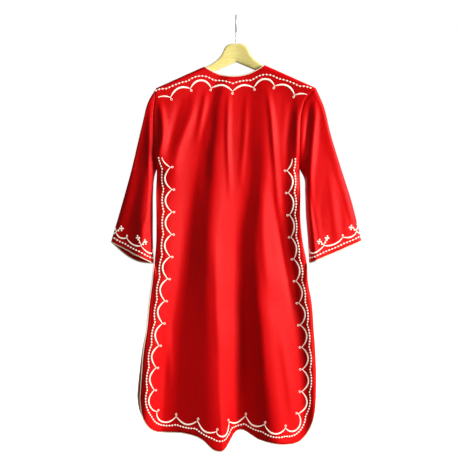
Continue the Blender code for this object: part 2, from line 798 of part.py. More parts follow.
def scallop_line(guide, outward, count, bulge, folds=()):
    """Centre line of a scallop border, with the width of its thread band."""
    along = np.linspace(0.0, 1.0, len(guide))
    steps = (np.arange(1, SCALLOP_STEPS * (count + 1)) / SCALLOP_STEPS - 0.5) / count
    shares = [0.0, *(share for share in steps if 0.0 < share < 1.0), 1.0]
    apart = 1 * MM / line_length(guide)
    shares += [fold for fold in folds if min(abs(fold - share) for share in shares) > apart]
    shares = np.array(sorted(shares))
    even = np.stack([np.interp(shares, along, guide[:, axis]) for axis in (0, 1)], axis=1)
    away = unit(np.stack([np.interp(shares, along, outward[:, axis]) for axis in (0, 1)], axis=1))
    phase = (shares * count + 0.5) % 1.0
    swell = 4.0 * phase * (1.0 - phase)
    centre = even + away * (bulge * swell)[:, None]
    width = lerp(SCALLOP_NARROW * CUSP_MITRE, SCALLOP_WIDE, swell)
    return centre, width


def band_lifts(cloth, lines, placed, closed):
    """How far each section of a band stands off, so that it clears the cloth between sections."""
    samples = []
    for number in range(len(lines[0]) - 1):
        for side, line in zip(BAND_LINES, lines):
            for share in BAND_CHECKS:
                under, normal = cloth.place(*lerp(line[number], line[number + 1], share))
                samples.append((number, (side + 1) / 2, share, under, normal))
    lifts = np.full(len(lines[0]), THREAD_LIFT)
    for _ in range(LIFT_PASSES):
        for number, across, share, under, normal in samples:
            ends = []
            for section in (number, number + 1):
                left, right = (placed[line][section] for line in (0, -1))
                left, right = (point + away * lifts[section] for point, away in (left, right))
                ends.append(lerp(left, right, across))
            short = THREAD_LIFT - float(np.dot(lerp(ends[0], ends[1], share) - under, normal))
            if short > 0.0:
                lifts[number] += short
                lifts[number + 1] += short
        if closed:
            lifts[0] = lifts[-1] = max(lifts[0], lifts[-1])
    return lifts


def scallop_band(name, cloth, centre, width, closed):
    """Raised band of thread along a scallop line, three-sided in section."""
    tangents = unit(np.gradient(centre, axis=0))
    if closed:
        tangents[0] = tangents[-1] = (1.0, 0.0)
    square = np.stack([-tangents[:, 1], tangents[:, 0]], axis=1)
    lines = [centre + square * (width * side / 2)[:, None] for side in BAND_LINES]
    placed = [[cloth.place(*spot) for spot in line] for line in lines]
    lifts = band_lifts(cloth, lines, placed, closed)
    count = len(centre) - 1 if closed else len(centre)
    vertices = []
    for number in range(count):
        for line, height in ((0, 0.0), (-1, 0.0), (len(BAND_LINES) // 2, SCALLOP_HEIGHT)):
            point, normal = placed[line][number]
            vertices.append(point + normal * (lifts[number] + height))
    faces = []
    for number in range(len(centre) - 1):
        here, following = 3 * number, 3 * ((number + 1) % count)
        ridge = (vertices[here + 2] + vertices[following + 2]) / 2
        for corner in range(3):
            after = (corner + 1) % 3
            quad = (here + corner, following + corner, following + after, here + after)
            first, second = (
                np.linalg.norm((vertices[quad[start]] + vertices[quad[start + 2]]) / 2 - ridge)
                for start in (0, 1)
            )
            if corner == 0 and second > first:
                quad = (*quad[1:], quad[0])
            faces.append(quad[:3])
            faces.append((quad[0], quad[2], quad[3]))
    if not closed:
        faces.append((0, 1, 2))
        faces.append((3 * count - 1, 3 * count - 2, 3 * count - 3))
    return solid_mesh(name, vertices, faces)


def panel_scallops(panel, outer, normals):
    """Meshes of the border round a panel's sides and hem, and of its yoke border."""
    cloth, flat = flat_panel(outer, normals)
    start_row = 1 + len(ROLL_DEPTHS) + ARMHOLE_DEPTHS.index(BORDER_START)
    left = flat[start_row:, 0]
    bottom = flat[-1, 1:]
    right = flat[-2:start_row - 1:-1, -1]
    outline = smoothed(np.concatenate([left, bottom, right]), CORNER_SMOOTH)
    guide = smoothed(outline - outward_of(outline, 1) * SCALLOP_INSET, GUIDE_SMOOTH)
    outward = outward_of(guide, 1)
    count = round(line_length(guide) / SCALLOP_PITCH)
    centre, width = scallop_line(guide, outward, count, SCALLOP_BULGE)
    sides = scallop_band(f"scallops_{panel.name}", cloth, centre, width, False)
    top = smoothed(flat[0], YOKE_SMOOTH)
    guide = top - outward_of(top, -1) * SCALLOP_INSET
    keep = (guide[:, 0] > flat[0, 0, 0] + YOKE_LEFT_END) & (guide[:, 0] < flat[0, -1, 0] - YOKE_RIGHT_END)
    guide = smoothed(guide[keep], GUIDE_SMOOTH)
    outward = outward_of(guide, -1)
    count = round(line_length(guide) / SCALLOP_PITCH)
    centre, width = scallop_line(guide, outward, count, YOKE_BULGE)
    yoke = scallop_band(f"scallops_yoke_{panel.name}", cloth, centre, width, False)
    return sides, yoke


def cuff_scallops(sleeve, outer, normals):
    """Mesh of the border round one cuff."""
    cloth, around = flat_cuff(outer, normals)
    guide = np.array([(around[-1] * share, CUFF_INSET) for share in np.linspace(0.0, 1.0, 60)])
    outward = np.tile((0.0, -1.0), (len(guide), 1))
    seam = len(around) // 2
    turns = np.concatenate([around[1:4], around[seam - 2:seam + 3], around[-4:-1]])
    centre, width = scallop_line(guide, outward, CUFF_SCALLOPS, CUFF_BULGE, turns / around[-1])
    return scallop_band(f"scallops_cuff_{sleeve.name}", cloth, centre, width, True)


def bar_top(x):
    """Height of the hanger's top edge."""
    x = abs(x)
    if x < BAR_TOP.keys[-1]:
        return BAR_TOP.read(x, "z")
    under_cloth = (WALL + REST_GAP) / math.cos(math.atan(ROOF_SLOPE))
    return roof(x) - under_cloth


def bar_section(x):
    """Rounded section of the hanger at one station, going round from its bottom."""
    top = bar_top(x)
    bottom = BAR_UNDER_Z - BAR_UNDER_SLOPE * abs(x)
    end = (BAR_HALF_SPAN - abs(x)) / BAR_ROUND
    shrink = 1.0 if end >= 1.0 else math.sqrt(max(1.0 - (1.0 - end) ** 2, 0.0))
    middle_z = (top + bottom) / 2
    half_height = (top - bottom) / 2 - BAR_ROUND * (1.0 - shrink)
    half_thick = lerp(1 * MM, BAR_HALF_THICK, shrink)
    radius = min(BAR_ROUND, half_thick * 0.8)
    corners = ((1, -1, -90), (1, 1, 0), (-1, 1, 90), (-1, -1, 180))
    section = []
    for side, level, start in corners:
        centre_y = side * (half_thick - radius)
        centre_z = middle_z + level * (half_height - radius)
        for step in range(BAR_CORNER_STEPS + 1):
            angle = math.radians(start + 90 * step / BAR_CORNER_STEPS)
            y = centre_y + radius * math.cos(angle) + middle(x, TIP_Z)
            section.append((x, y, centre_z + radius * math.sin(angle)))
    return section


def bar_mesh():
    """Contoured bar of the hanger, lofted from end to end."""
    stations = [-x for x in reversed(BAR_STATIONS[1:])] + list(BAR_STATIONS)
    sections = [bar_section(x) for x in stations]
    around = len(sections[0])
    faces = []
    for station in range(len(sections) - 1):
        for number in range(around):
            here = station * around + number
            beside = station * around + (number + 1) % around
            faces.append((here, beside, beside + around, here + around))
    faces.append(tuple(range(around)))
    faces.append(tuple(range(len(sections) * around - 1, (len(sections) - 1) * around - 1, -1)))
    vertices = [point for section in sections for point in section]
    return solid_mesh("hanger_bar", vertices, faces, smooth_angle=40)


def add_bore(bar, cutters):
    """Cut the hole for the hook's shank into the top of the bar."""
    mesh = bpy.data.meshes.new("shank_bore")
    shape = bmesh.new()
    bmesh.ops.create_cone(
        shape, cap_ends=True, segments=12, radius1=BORE_RADIUS, radius2=BORE_RADIUS, depth=2 * BORE_DEPTH
    )
    shape.to_mesh(mesh)
    shape.free()
    cutter = bpy.data.objects.new("shank_bore", mesh)
    cutter.location = (0.0, 0.0, bar_top(0.0))
    cutter.hide_render = True
    cutter.display_type = "WIRE"
    cutters.objects.link(cutter)
    cut = bar.modifiers.new("shank bore", "BOOLEAN")
    cut.operation = "DIFFERENCE"
    cut.object = cutter


def hook_path():
    """Points of the hook's centre line from its tip to the end of its shank."""
    turn = HOOK_INSIDE + HOOK_RADIUS
    path = []
    for step in range(HOOK_TURN_STEPS + 1):
        angle = math.radians(lerp(HOOK_TIP_ANGLE, HOOK_BACK_ANGLE, step / HOOK_TURN_STEPS))
        path.append(Vector((0.0, turn * math.cos(angle), turn * math.sin(angle) - HOOK_INSIDE)))
    start = path[-1]
    end = Vector((0.0, 0.0, SHANK_TOP_Z))
    reach = (start - end).length / 2
    back = math.radians(HOOK_BACK_ANGLE)
    leave = start + Vector((0.0, -math.sin(back), math.cos(back))) * reach
    arrive = end + Vector((0.0, 0.0, reach))
    for step in range(1, HOOK_BEND_STEPS + 1):
        t = step / HOOK_BEND_STEPS
        first = start * (1 - t) ** 3 + leave * 3 * t * (1 - t) ** 2
        path.append(first + arrive * 3 * t ** 2 * (1 - t) + end * t ** 3)
    path.append(Vector((0.0, 0.0, SHANK_END_Z)))
    return path


def clear_scene():
    """Remove the objects that the scene starts with."""
    for existing in list(bpy.data.objects):
        bpy.data.objects.remove(existing)


def build_dress(dress):
    """Cloth pieces, pipings and raised embroidery of the dress."""
    walls = {}
    for panel in (BACK, FRONT):
        outer, inner, normals = panel_walls(panel)
        walls[panel.name] = (outer, inner, normals)
        cloth = new_material(f"{panel.name} cloth", CLOTH_RED, 0.5)
        name = f"{panel.name}_panel"
        add_object(name, wall_mesh(name, outer, inner), cloth, dress)
        piping = new_material(f"{panel.name} hem piping", THREAD_CREAM, 0.6)
        name = f"hem_piping_{panel.name}"
        path = hem_piping_path(outer, normals)
        add_object(name, tube_curve(name, path, PIPING_RADIUS, False, 1), piping, dress)
        thread = new_material(f"{panel.name} thread", THREAD_CREAM, 0.5)
        for mesh in panel_scallops(panel, outer, normals):
            add_object(mesh.name, mesh, thread, dress)
    piping = new_material("neck piping", THREAD_CREAM, 0.6)
    neck = tube_curve("neck_piping", neck_piping_path(walls), PIPING_RADIUS, True, 1)
    add_object("neck_piping", neck, piping, dress)
    for sleeve in SLEEVES:
        outer, inner, normals = sleeve.walls()
        cloth = new_material(f"{sleeve.name} sleeve cloth", CLOTH_RED, 0.5)
        name = f"sleeve_{sleeve.name}"
        add_object(name, wall_mesh(name, outer, inner, wrap=True), cloth, dress)
        piping = new_material(f"{sleeve.name} cuff piping", THREAD_CREAM, 0.6)
        path = cuff_piping_path(outer, normals)
        name = f"cuff_piping_{sleeve.name}"
        add_object(name, tube_curve(name, path, PIPING_RADIUS, True, 1), piping, dress)
        thread = new_material(f"{sleeve.name} cuff thread", THREAD_CREAM, 0.5)
        mesh = cuff_scallops(sleeve, outer, normals)
        add_object(mesh.name, mesh, thread, dress)


def build_hanger(dress, cutters):
    """Wooden bar and wire hook."""
    bar = add_object("hanger_bar", bar_mesh(), new_material("pale wood", PALE_WOOD, 0.45), dress)
    add_bore(bar, cutters)
    steel = new_material("hook steel", HOOK_STEEL, 0.25, 1.0)
    hook = tube_curve("hanger_hook", hook_path(), HOOK_RADIUS, False, 2)
    add_object("hanger_hook", hook, steel, dress)


def main():
    """Build the dress on its hanger."""
    clear_scene()
    dress = bpy.data.collections.new("embroidered dress on hanger")
    cutters = bpy.data.collections.new("cutters")
    for collection in (dress, cutters):
        bpy.context.scene.collection.children.link(collection)
    build_dress(dress)
    build_hanger(dress, cutters)


main()
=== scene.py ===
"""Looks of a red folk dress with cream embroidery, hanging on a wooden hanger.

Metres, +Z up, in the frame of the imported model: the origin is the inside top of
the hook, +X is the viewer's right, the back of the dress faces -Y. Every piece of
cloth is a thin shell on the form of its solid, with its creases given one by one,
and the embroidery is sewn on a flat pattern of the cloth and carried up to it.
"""

import logging
import math
from dataclasses import dataclass, field, replace
from enum import Enum

import bpy
import numpy as np
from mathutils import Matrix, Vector
from mathutils.bvhtree import BVHTree


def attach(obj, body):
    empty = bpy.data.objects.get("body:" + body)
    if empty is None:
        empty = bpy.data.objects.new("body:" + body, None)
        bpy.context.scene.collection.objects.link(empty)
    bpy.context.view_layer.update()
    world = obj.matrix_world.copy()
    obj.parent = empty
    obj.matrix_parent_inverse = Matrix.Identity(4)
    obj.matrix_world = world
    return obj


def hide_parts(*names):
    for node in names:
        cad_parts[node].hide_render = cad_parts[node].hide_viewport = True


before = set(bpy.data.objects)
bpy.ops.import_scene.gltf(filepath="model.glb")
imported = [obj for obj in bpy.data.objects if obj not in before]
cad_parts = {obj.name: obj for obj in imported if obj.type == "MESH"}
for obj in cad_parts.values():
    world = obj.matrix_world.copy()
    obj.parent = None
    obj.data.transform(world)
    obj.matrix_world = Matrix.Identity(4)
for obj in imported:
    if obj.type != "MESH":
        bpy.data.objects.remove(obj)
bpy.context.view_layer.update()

LOG = logging.getLogger("dress")
MM = 0.001
BODY = "root"

Array = np.ndarray


def lerp(start: Array | float, end: Array | float, share: Array | float) -> Array:
    """Value a share of the way from start to end."""
    return start + (end - start) * share


def ease(share: Array | float) -> Array:
    """Share from 0 to 1, slow at both ends."""
    share = np.clip(share, 0.0, 1.0)
    return share * share * (3.0 - 2.0 * share)


def ramp(share: Array, rounding: float = 0.26) -> Array:
    """Share from 0 to 1 on a straight slope with short round ends, as a fold's side has.

    Args:
        share: how far along the slope.
        rounding: share of the slope that each round end takes.
    Returns:
        The rise at each place.
    """
    share = np.clip(share, 0.0, 1.0)
    steep = 1.0 / (1.0 - rounding)
    low = steep * share ** 2 / (2.0 * rounding)
    high = 1.0 - steep * (1.0 - share) ** 2 / (2.0 * rounding)
    slope = steep * (share - rounding / 2.0)
    return np.where(share < rounding, low, np.where(share > 1.0 - rounding, high, slope))


def unit(vectors: Array) -> Array:
    """Vectors of length one."""
    return vectors / np.maximum(np.linalg.norm(vectors, axis=-1, keepdims=True), 1e-12)


def new_object(name: str, data: bpy.types.ID) -> bpy.types.Object:
    """Object in the scene that holds a mesh, a lamp or a camera.

    Args:
        name: its name.
        data: what it holds.
    Returns:
        The object.
    """
    made = bpy.data.objects.new(name, data)
    bpy.context.scene.collection.objects.link(made)
    return made


class Table:
    """Rows of numbers under named columns, read on a smooth curve through them."""

    def __init__(self, columns: str, *rows: tuple) -> None:
        self.columns = columns.split()
        self.values = np.array(sorted(rows), float)
        self.keys = self.values[:, 0]
        self.slopes = np.gradient(self.values, self.keys, axis=0)

    def read(self, key: Array, column: str) -> Array:
        """Values of a column.

        Args:
            key: values of the first column.
            column: name of the column that is wanted.
        Returns:
            The column's value at each key.
        """
        number = self.columns.index(column)
        key = np.clip(key, self.keys[0], self.keys[-1])
        row = np.clip(np.searchsorted(self.keys, key, side="right") - 1, 0, len(self.keys) - 2)
        step = self.keys[row + 1] - self.keys[row]
        share = (key - self.keys[row]) / step
        first, second = self.values[row, number], self.values[row + 1, number]
        rise, fall = self.slopes[row, number] * step, self.slopes[row + 1, number] * step
        start = (first * (1 + 2 * share) + rise * share) * (1 - share) ** 2
        return start + (second * (3 - 2 * share) - fall * (1 - share)) * share ** 2

    def read_all(self, key: Array) -> list[Array]:
        """Values of every column but the first, at each key."""
        return [self.read(key, column) for column in self.columns[1:]]


# Shoulder line and neck points
ROOF_TOP = -0.0945
ROOF_SLOPE = 0.47
ROOF_ROUND = 0.020
TIP_X = 0.2065
NECK_LEFT = -0.084
NECK_RIGHT = 0.075


def roof(x: Array) -> Array:
    """Height of the shoulder line."""
    return ROOF_TOP - ROOF_SLOPE * np.hypot(x, ROOF_ROUND)


# Heights down the side of the dress
TIP_Z = float(roof(TIP_X))
ARMPIT_Z = -0.399
SLIT_Z = -0.638
CORNER_Z = -0.995

# Side edges: armhole to the armpit, then the side seam, then the slit
EDGES = Table(
    "z left right",
    (TIP_Z, -TIP_X, TIP_X),
    (-0.222, -0.2112, 0.18),
    (-0.2535, -0.2145, 0.17),
    (-0.313, -0.2145, 0.166),
    (-0.36, -0.212, 0.165),
    (ARMPIT_Z, -0.2055, 0.165),
    (-0.46, -0.2055, 0.1664),
    (-0.535, -0.2045, 0.1664),
    (-0.6, -0.2055, 0.174),
    (SLIT_Z, -0.209, 0.182),
    (-0.7, -0.2155, 0.187),
    (-0.742, -0.221, 0.195),
    (-0.82, -0.2288, 0.2015),
    (-0.872, -0.2366, 0.2054),
    (-0.937, -0.2418, 0.208),
    (CORNER_Z, -0.2457, 0.2075),
)

# Hem height across the panel, before its corners are rounded
HEM = Table(
    "across z",
    (0.0, -1.0765),
    (0.15, -1.0815),
    (0.25, -1.083),
    (0.35, -1.0975),
    (0.42, -1.1245),
    (0.47, -1.1255),
    (0.54, -1.083),
    (0.68, -1.102),
    (0.8, -1.113),
    (1.0, -1.109),
)
CORNER_LEFT = 0.049
CORNER_RIGHT = 0.060

# Depth of the garment: the roll over the hanger, then the body's half depth
ROLL_DEPTH = 10 * MM
ROLL_HALF = 9 * MM
BODY_OPENS_OVER = 0.220
ARMHOLE_HALF = 24 * MM
FLARE = 9 * MM
STAND_OVER = 0.22
SLIT_STAND = 0.5

# How far the side seams stand toward the viewer, over what distance the panels come
# back from each seam, and a wider curl on the right, at heights down the body
CURL = Table(
    "z left left_ease right right_ease right_curl right_width",
    (-0.38, 0.0, 0.0105, 0.0, 0.0105, 0.0, 0.026),
    (-0.425, 0.013, 0.024, 0.012, 0.01, 0.005, 0.024),
    (-0.48, 0.025, 0.034, 0.022, 0.01, 0.008, 0.022),
    (-0.6, 0.026, 0.028, 0.023, 0.009, 0.011, 0.02),
    (-0.74, 0.019, 0.014, 0.01, 0.006, 0.014, 0.018),
    (-0.85, 0.016, 0.01, 0.0, 0.0035, 0.012, 0.018),
    (-0.995, 0.011, 0.008, 0.0, 0.0035, 0.008, 0.018),
)
# How much nearer its edge the back's right border runs, and the share of it that its
# scallops and its dots take
BORDER_SHIFT = Table(
    "z right",
    (-0.38, 3 * MM),
    (-0.48, 9 * MM),
    (-0.62, 9 * MM),
    (-0.8, 0.0),
)
BULGE_SHARE = 0.5
DOTS_SHARE = 0.65
EDGE_REACH = 4
HALF_GAP = 0.15 * MM
SLIT_OPENING = Table(
    "below half",
    (0.0, HALF_GAP),
    (0.015, 4.2 * MM),
    (0.06, 6.5 * MM),
    (0.18, 9.5 * MM),
    (SLIT_Z - CORNER_Z, 14 * MM),
)

# The hanger's arms sweep toward -Y, and the hem is turned a little
HANGER_SWEEP = 0.12
SWEEP_BELOW = 0.35
BODY_TURN = 20 * MM
TURN_OVER = 0.5
FOLD_HEIGHTS = (-0.222, -0.40, -0.61, -0.87, -1.12)
FOLDS_FADE_OVER = 60 * MM

# Cloth, seams and trims
SHELL = 0.6 * MM
SEAM_TUCK = 1.3 * MM
SEAM_WIDTH = 2.6 * MM
PIPING_OUT = 1.55 * MM
PIPING_THICK = 1.25 * MM
PIPING_STARTS = 8 * MM
ROWS_CLOSE_ABOVE = 1.3
RINGS_CLOSE_ABOVE = 1.1
POINTS_APART = 4 * MM
SEAM_FADES_OVER = 20 * MM


def roll_half(depth: Array, body_half: float) -> Array:
    """Half of the garment's depth at a depth below its shoulder line.

    Args:
        depth: how far below the shoulder line.
        body_half: the half depth that it opens to.
    Returns:
        The half depth.
    """
    inside = np.clip(1.0 - depth / ROLL_DEPTH, 0.0, 1.0)
    rolled = ROLL_HALF * np.sqrt(1.0 - inside ** 2)
    return lerp(rolled, body_half, ease((depth - ROLL_DEPTH) / BODY_OPENS_OVER))


def middle(x: Array, z: Array) -> Array:
    """y of the surface midway between the back and the front.

    Args:
        x: places across.
        z: their heights.
    Returns:
        y at each place.
    """
    drop = ease((TIP_Z - z) / TURN_OVER)
    sweep = -HANGER_SWEEP * np.hypot(x, ROOF_ROUND) * lerp(1.0, SWEEP_BELOW, drop)
    return sweep + BODY_TURN * np.clip(x / TIP_X, -1.2, 1.2) * drop


def armhole_half(x: Array, z: Array) -> Array:
    """Half depth of the armhole at a point of its seam."""
    share = np.clip((TIP_Z - z) / (TIP_Z - ARMPIT_Z), 0.0, 1.0)
    return roll_half(np.maximum(roof(x) - z, 0.0), ARMHOLE_HALF) * np.sqrt(1.0 - share ** 4)


def edge_half(x: Array, z: Array) -> Array:
    """Half of the distance between the two panels at their side edge.

    Args:
        x: places of the edge.
        z: their heights.
    Returns:
        Half the distance at each place.
    """
    open_half = np.maximum(armhole_half(x, z), HALF_GAP)
    slit_half = SLIT_OPENING.read(SLIT_Z - z, "half")
    return np.where(z > ARMPIT_Z, open_half, np.where(z > SLIT_Z, HALF_GAP, slit_half))


def corner_rise(from_edge: Array, radius: float, rise: float) -> Array:
    """How far the hem is raised at a distance from the panel's side edge."""
    inside = np.clip(1.0 - from_edge / radius, 0.0, 1.0)
    return rise * (1.0 - np.sqrt(1.0 - inside ** 2))


def width_point(edge_z: Array, across: Array) -> tuple[Array, Array, Array]:
    """x at a share of the way across, between the left and right edges at that height.

    Args:
        edge_z: heights down the side edge.
        across: shares of the way across.
    Returns:
        x, and x of the left and the right edge.
    """
    left, right = EDGES.read_all(edge_z)
    x = lerp(-TIP_X, TIP_X, across)
    x = x + (left + TIP_X) * (1.0 - across) ** EDGE_REACH + (right - TIP_X) * across ** EDGE_REACH
    return x, left, right


def side_curl(from_left: Array, from_right: Array, edge_z: Array) -> Array:
    """How far the side seams of the body curl toward the viewer.

    Args:
        from_left: distances from the left edge.
        from_right: distances from the right edge.
        edge_z: heights down the side edge.
    Returns:
        The distance toward the viewer at each place.
    """
    left, left_ease, right, right_ease, curl, width = CURL.read_all(edge_z)
    seams = left * np.exp(-from_left / left_ease) + right * np.exp(-from_right / right_ease)
    return seams + curl * np.exp(-(from_right / width) ** 2)


CREASE_STEPS = 24


@dataclass(frozen=True)
class Crease:
    """A soft ridge or trough pressed into cloth along a line of (x, z) points.

    width is the distance in millimetres at which it has nearly faded to each side, and
    out is how far it stands out in millimetres, below 0 for a trough.
    """

    width: float
    out: float
    points: Array

    def field(self, x: Array, z: Array) -> Array:
        """How far the crease lifts the cloth.

        Args:
            x: places across the dress.
            z: heights of the same places.
        Returns:
            The lift in metres at each place.
        """
        keys = np.linspace(0.0, 1.0, len(self.points))
        line = Table("key x z", *[(key, *point) for key, point in zip(keys, self.points)])
        centre = np.stack(line.read_all(np.linspace(0.0, 1.0, CREASE_STEPS + 1)), axis=1)
        spots = np.stack([x, z], axis=-1)
        nearest = np.full(x.shape, np.inf)
        along = np.zeros(x.shape)
        for number, (start, end) in enumerate(zip(centre[:-1], centre[1:])):
            step = end - start
            part = np.clip((spots - start) @ step / (step @ step), 0.0, 1.0)
            distance = np.sum((spots - start - part[..., None] * step) ** 2, axis=-1)
            closer = distance < nearest
            nearest = np.where(closer, distance, nearest)
            along = np.where(closer, (number + part) / CREASE_STEPS, along)
        taper = np.sin(np.pi * np.clip(along, 0.02, 0.98)) ** 0.7
        return self.out * MM * taper * np.exp(-nearest / (self.width * MM) ** 2)


def creases(*rows: tuple) -> list[Crease]:
    """Creases from rows of width, out, then x and z of each point, all in millimetres."""
    return [Crease(width, out, np.reshape(places, (-1, 2)) * MM) for width, out, *places in rows]


@dataclass
class FlatCloth:
    """Outer face of a piece laid flat, to sew a pattern on it."""

    points: Array
    flat: Array
    normals: Array

    def __post_init__(self) -> None:
        rows, columns = self.flat.shape[:2]
        here = (np.arange(rows - 1)[:, None] * columns + np.arange(columns - 1)).ravel()
        lower = np.stack([here, here + columns, here + columns + 1], axis=1)
        upper = np.stack([here, here + columns + 1, here + 1], axis=1)
        self.triangles = np.concatenate([lower, upper])
        spots = [(float(a), float(b), 0.0) for a, b in self.flat.reshape(-1, 2)]
        self.tree = BVHTree.FromPolygons(spots, self.triangles.tolist())

    def place(self, spots: Array) -> tuple[Array, Array]:
        """Points of the cloth under places of the flat pattern.

        Args:
            spots: places on the flat pattern, one row of two numbers each.
        Returns:
            The points on the cloth, and its normals there.
        """
        found = [self.tree.find_nearest(Vector((float(a), float(b), 0.0))) for a, b in spots]
        corners = self.triangles[[number for _, _, number, _ in found]]
        near = np.array([spot[:2] for spot, _, _, _ in found])
        flat = self.flat.reshape(-1, 2)[corners]
        sides = np.swapaxes(flat[:, 1:] - flat[:, :1], 1, 2)
        shares = np.linalg.solve(sides, (near - flat[:, 0])[..., None])[..., 0]
        weights = np.concatenate([1.0 - shares.sum(axis=1, keepdims=True), shares], axis=1)
        points = np.einsum("ij,ijk->ik", weights, self.points.reshape(-1, 3)[corners])
        normals = np.einsum("ij,ijk->ik", weights, self.normals.reshape(-1, 3)[corners])
        return points, unit(normals)


def grid_normals(points: Array, facing: int) -> Array:
    """Unit normals at the points of a grid.

    Args:
        points: rows and columns of points.
        facing: 1 or -1, which side of the grid they point to.
    Returns:
        A normal for each point.
    """
    down = np.gradient(points, axis=0)
    along = np.gradient(points, axis=1)
    return unit(np.cross(down, along)) * facing


def distances(line: Array) -> Array:
    """Distance of each point of a line from its start, along it."""
    return np.concatenate([[0.0], np.cumsum(np.linalg.norm(np.diff(line, axis=0), axis=1))])


def resample(line: Array, count: int) -> Array:
    """Points at even distances along a line."""
    wanted = np.linspace(0.0, distances(line)[-1], count)
    return np.stack([np.interp(wanted, distances(line), column) for column in line.T], axis=1)


def line_length(line: Array) -> float:
    """Length of a line of points."""
    return float(distances(line)[-1])


def smoothed(line: Array, reach: float) -> Array:
    """Even line of points with its corners eased.

    Args:
        line: points of the line.
        reach: distance over which corners are eased.
    Returns:
        Points about POINTS_APART from each other, from the same start to the same end.
    """
    even = resample(line, max(int(line_length(line) / POINTS_APART), 8))
    step = line_length(even) / (len(even) - 1)
    width = int(3 * reach / step)
    weights = np.exp(-0.5 * (np.arange(-width, width + 1) * step / reach) ** 2)
    weights /= weights.sum()
    first = 2 * even[0] - even[width:0:-1]
    last = 2 * even[-1] - even[-2:-width - 2:-1]
    padded = np.concatenate([first, even, last])
    return np.stack([np.convolve(column, weights, "valid") for column in padded.T], axis=1)


def outward_of(line: Array, turn: int) -> Array:
    """Unit vectors square to a flat line, on the side that turn names."""
    tangents = unit(np.gradient(line, axis=0))
    return np.stack([-tangents[:, 1], tangents[:, 0]], axis=1) * turn


class Socket:
    """A shader socket that takes part in Python arithmetic."""

    def __init__(self, graph: "Graph", link: bpy.types.NodeSocket) -> None:
        self.graph = graph
        self.link = link

    def math(self, operation: str, *values: "Socket | float") -> "Socket":
        """Result of a Math node on this socket and other values."""
        return self.graph.math(operation, self, *values)

    def __add__(self, other: "Socket | float") -> "Socket":
        """Sum of this value and another."""
        return self.math("ADD", other)

    __radd__ = __add__

    def __sub__(self, other: "Socket | float") -> "Socket":
        """This value less another."""
        return self.math("SUBTRACT", other)

    def __rsub__(self, other: float) -> "Socket":
        """Another value less this one."""
        return self.graph.math("SUBTRACT", other, self)

    def __mul__(self, other: "Socket | float") -> "Socket":
        """Product of this value and another."""
        return self.math("MULTIPLY", other)

    __rmul__ = __mul__


class Graph:
    """Node tree of one material."""

    def __init__(self, name: str) -> None:
        self.material = bpy.data.materials.new(name)
        self.material.use_nodes = True
        self.tree = self.material.node_tree
        self.shader = self.tree.nodes["Principled BSDF"]

    def node(self, kind: str, settings: dict, sockets: dict) -> bpy.types.Node:
        """New node.

        Args:
            kind: the node's type.
            settings: attributes set first.
            sockets: values or links of its inputs, by name or number.
        Returns:
            The node.
        """
        made = self.tree.nodes.new(kind)
        for key, value in settings.items():
            setattr(made, key, value)
        for key, value in sockets.items():
            self.feed(made.inputs[key], value)
        return made

    def feed(self, target: bpy.types.NodeSocket, value: "Socket | float | tuple") -> None:
        """Link or set one input.

        Args:
            target: the input.
            value: what it gets.
        """
        if isinstance(value, Socket):
            self.tree.links.new(value.link, target)
        else:
            target.default_value = value

    def output(self, made: bpy.types.Node, name: str | int = 0) -> Socket:
        """An output of a node."""
        return Socket(self, made.outputs[name])

    def math(self, operation: str, *values: "Socket | float") -> Socket:
        """Result of a Math node."""
        return self.output(self.node("ShaderNodeMath", {"operation": operation}, dict(enumerate(values))))

    def flat_place(self) -> tuple[Socket, Socket]:
        """The two coordinates of the flat pattern, in metres."""
        pattern = self.node("ShaderNodeUVMap", {"uv_map": "pattern"}, {})
        parts = self.node("ShaderNodeSeparateXYZ", {}, {0: self.output(pattern)})
        return self.output(parts, 0), self.output(parts, 1)

    def noise(self, scale: float, detail: float, stretch: tuple = (1.0, 1.0, 1.0)) -> Socket:
        """Smooth noise in the object's own space.

        Args:
            scale: bumps in a metre.
            detail: octaves of finer noise.
            stretch: how much each axis is scaled.
        Returns:
            The noise, from 0 to 1.
        """
        place = self.output(self.node("ShaderNodeTexCoord", {}, {}), "Object")
        scaled = self.node("ShaderNodeVectorMath", {"operation": "MULTIPLY"}, {0: place, 1: stretch})
        sockets = {"Vector": self.output(scaled), "Scale": scale, "Detail": detail}
        return self.output(self.node("ShaderNodeTexNoise", {}, sockets))

    def blend(self, share: Socket, first: tuple, second: tuple) -> Socket:
        """Colour between two colours.

        Args:
            share: 0 for the first and 1 for the second.
            first: one colour.
            second: the other colour.
        Returns:
            The colour.
        """
        settings = {"data_type": "RGBA", "clamp_factor": True}
        mixed = self.node("ShaderNodeMix", settings, {0: share, 6: (*first, 1.0), 7: (*second, 1.0)})
        return self.output(mixed, 2)

    def bump(self, height: Socket, distance: float, strength: float) -> Socket:
        """Normal that a height gives."""
        sockets = {"Height": height, "Distance": distance, "Strength": strength}
        return self.output(self.node("ShaderNodeBump", {}, sockets), "Normal")

    def finish(self, **sockets: "Socket | float | tuple") -> bpy.types.Material:
        """Feed the shader, with underscores for the spaces in its names.

        Args:
            sockets: values or links of its inputs.
        Returns:
            The material.
        """
        for key, value in sockets.items():
            self.feed(self.shader.inputs[key.replace("_", " ")], value)
        return self.material


def stripes(graph: Graph, place: Socket, pitch: float) -> Socket:
    """Even waves from 0 to 1 along a coordinate, one for each pitch in metres."""
    return (place * (2.0 * math.pi / pitch)).math("SINE") * 0.5 + 0.5


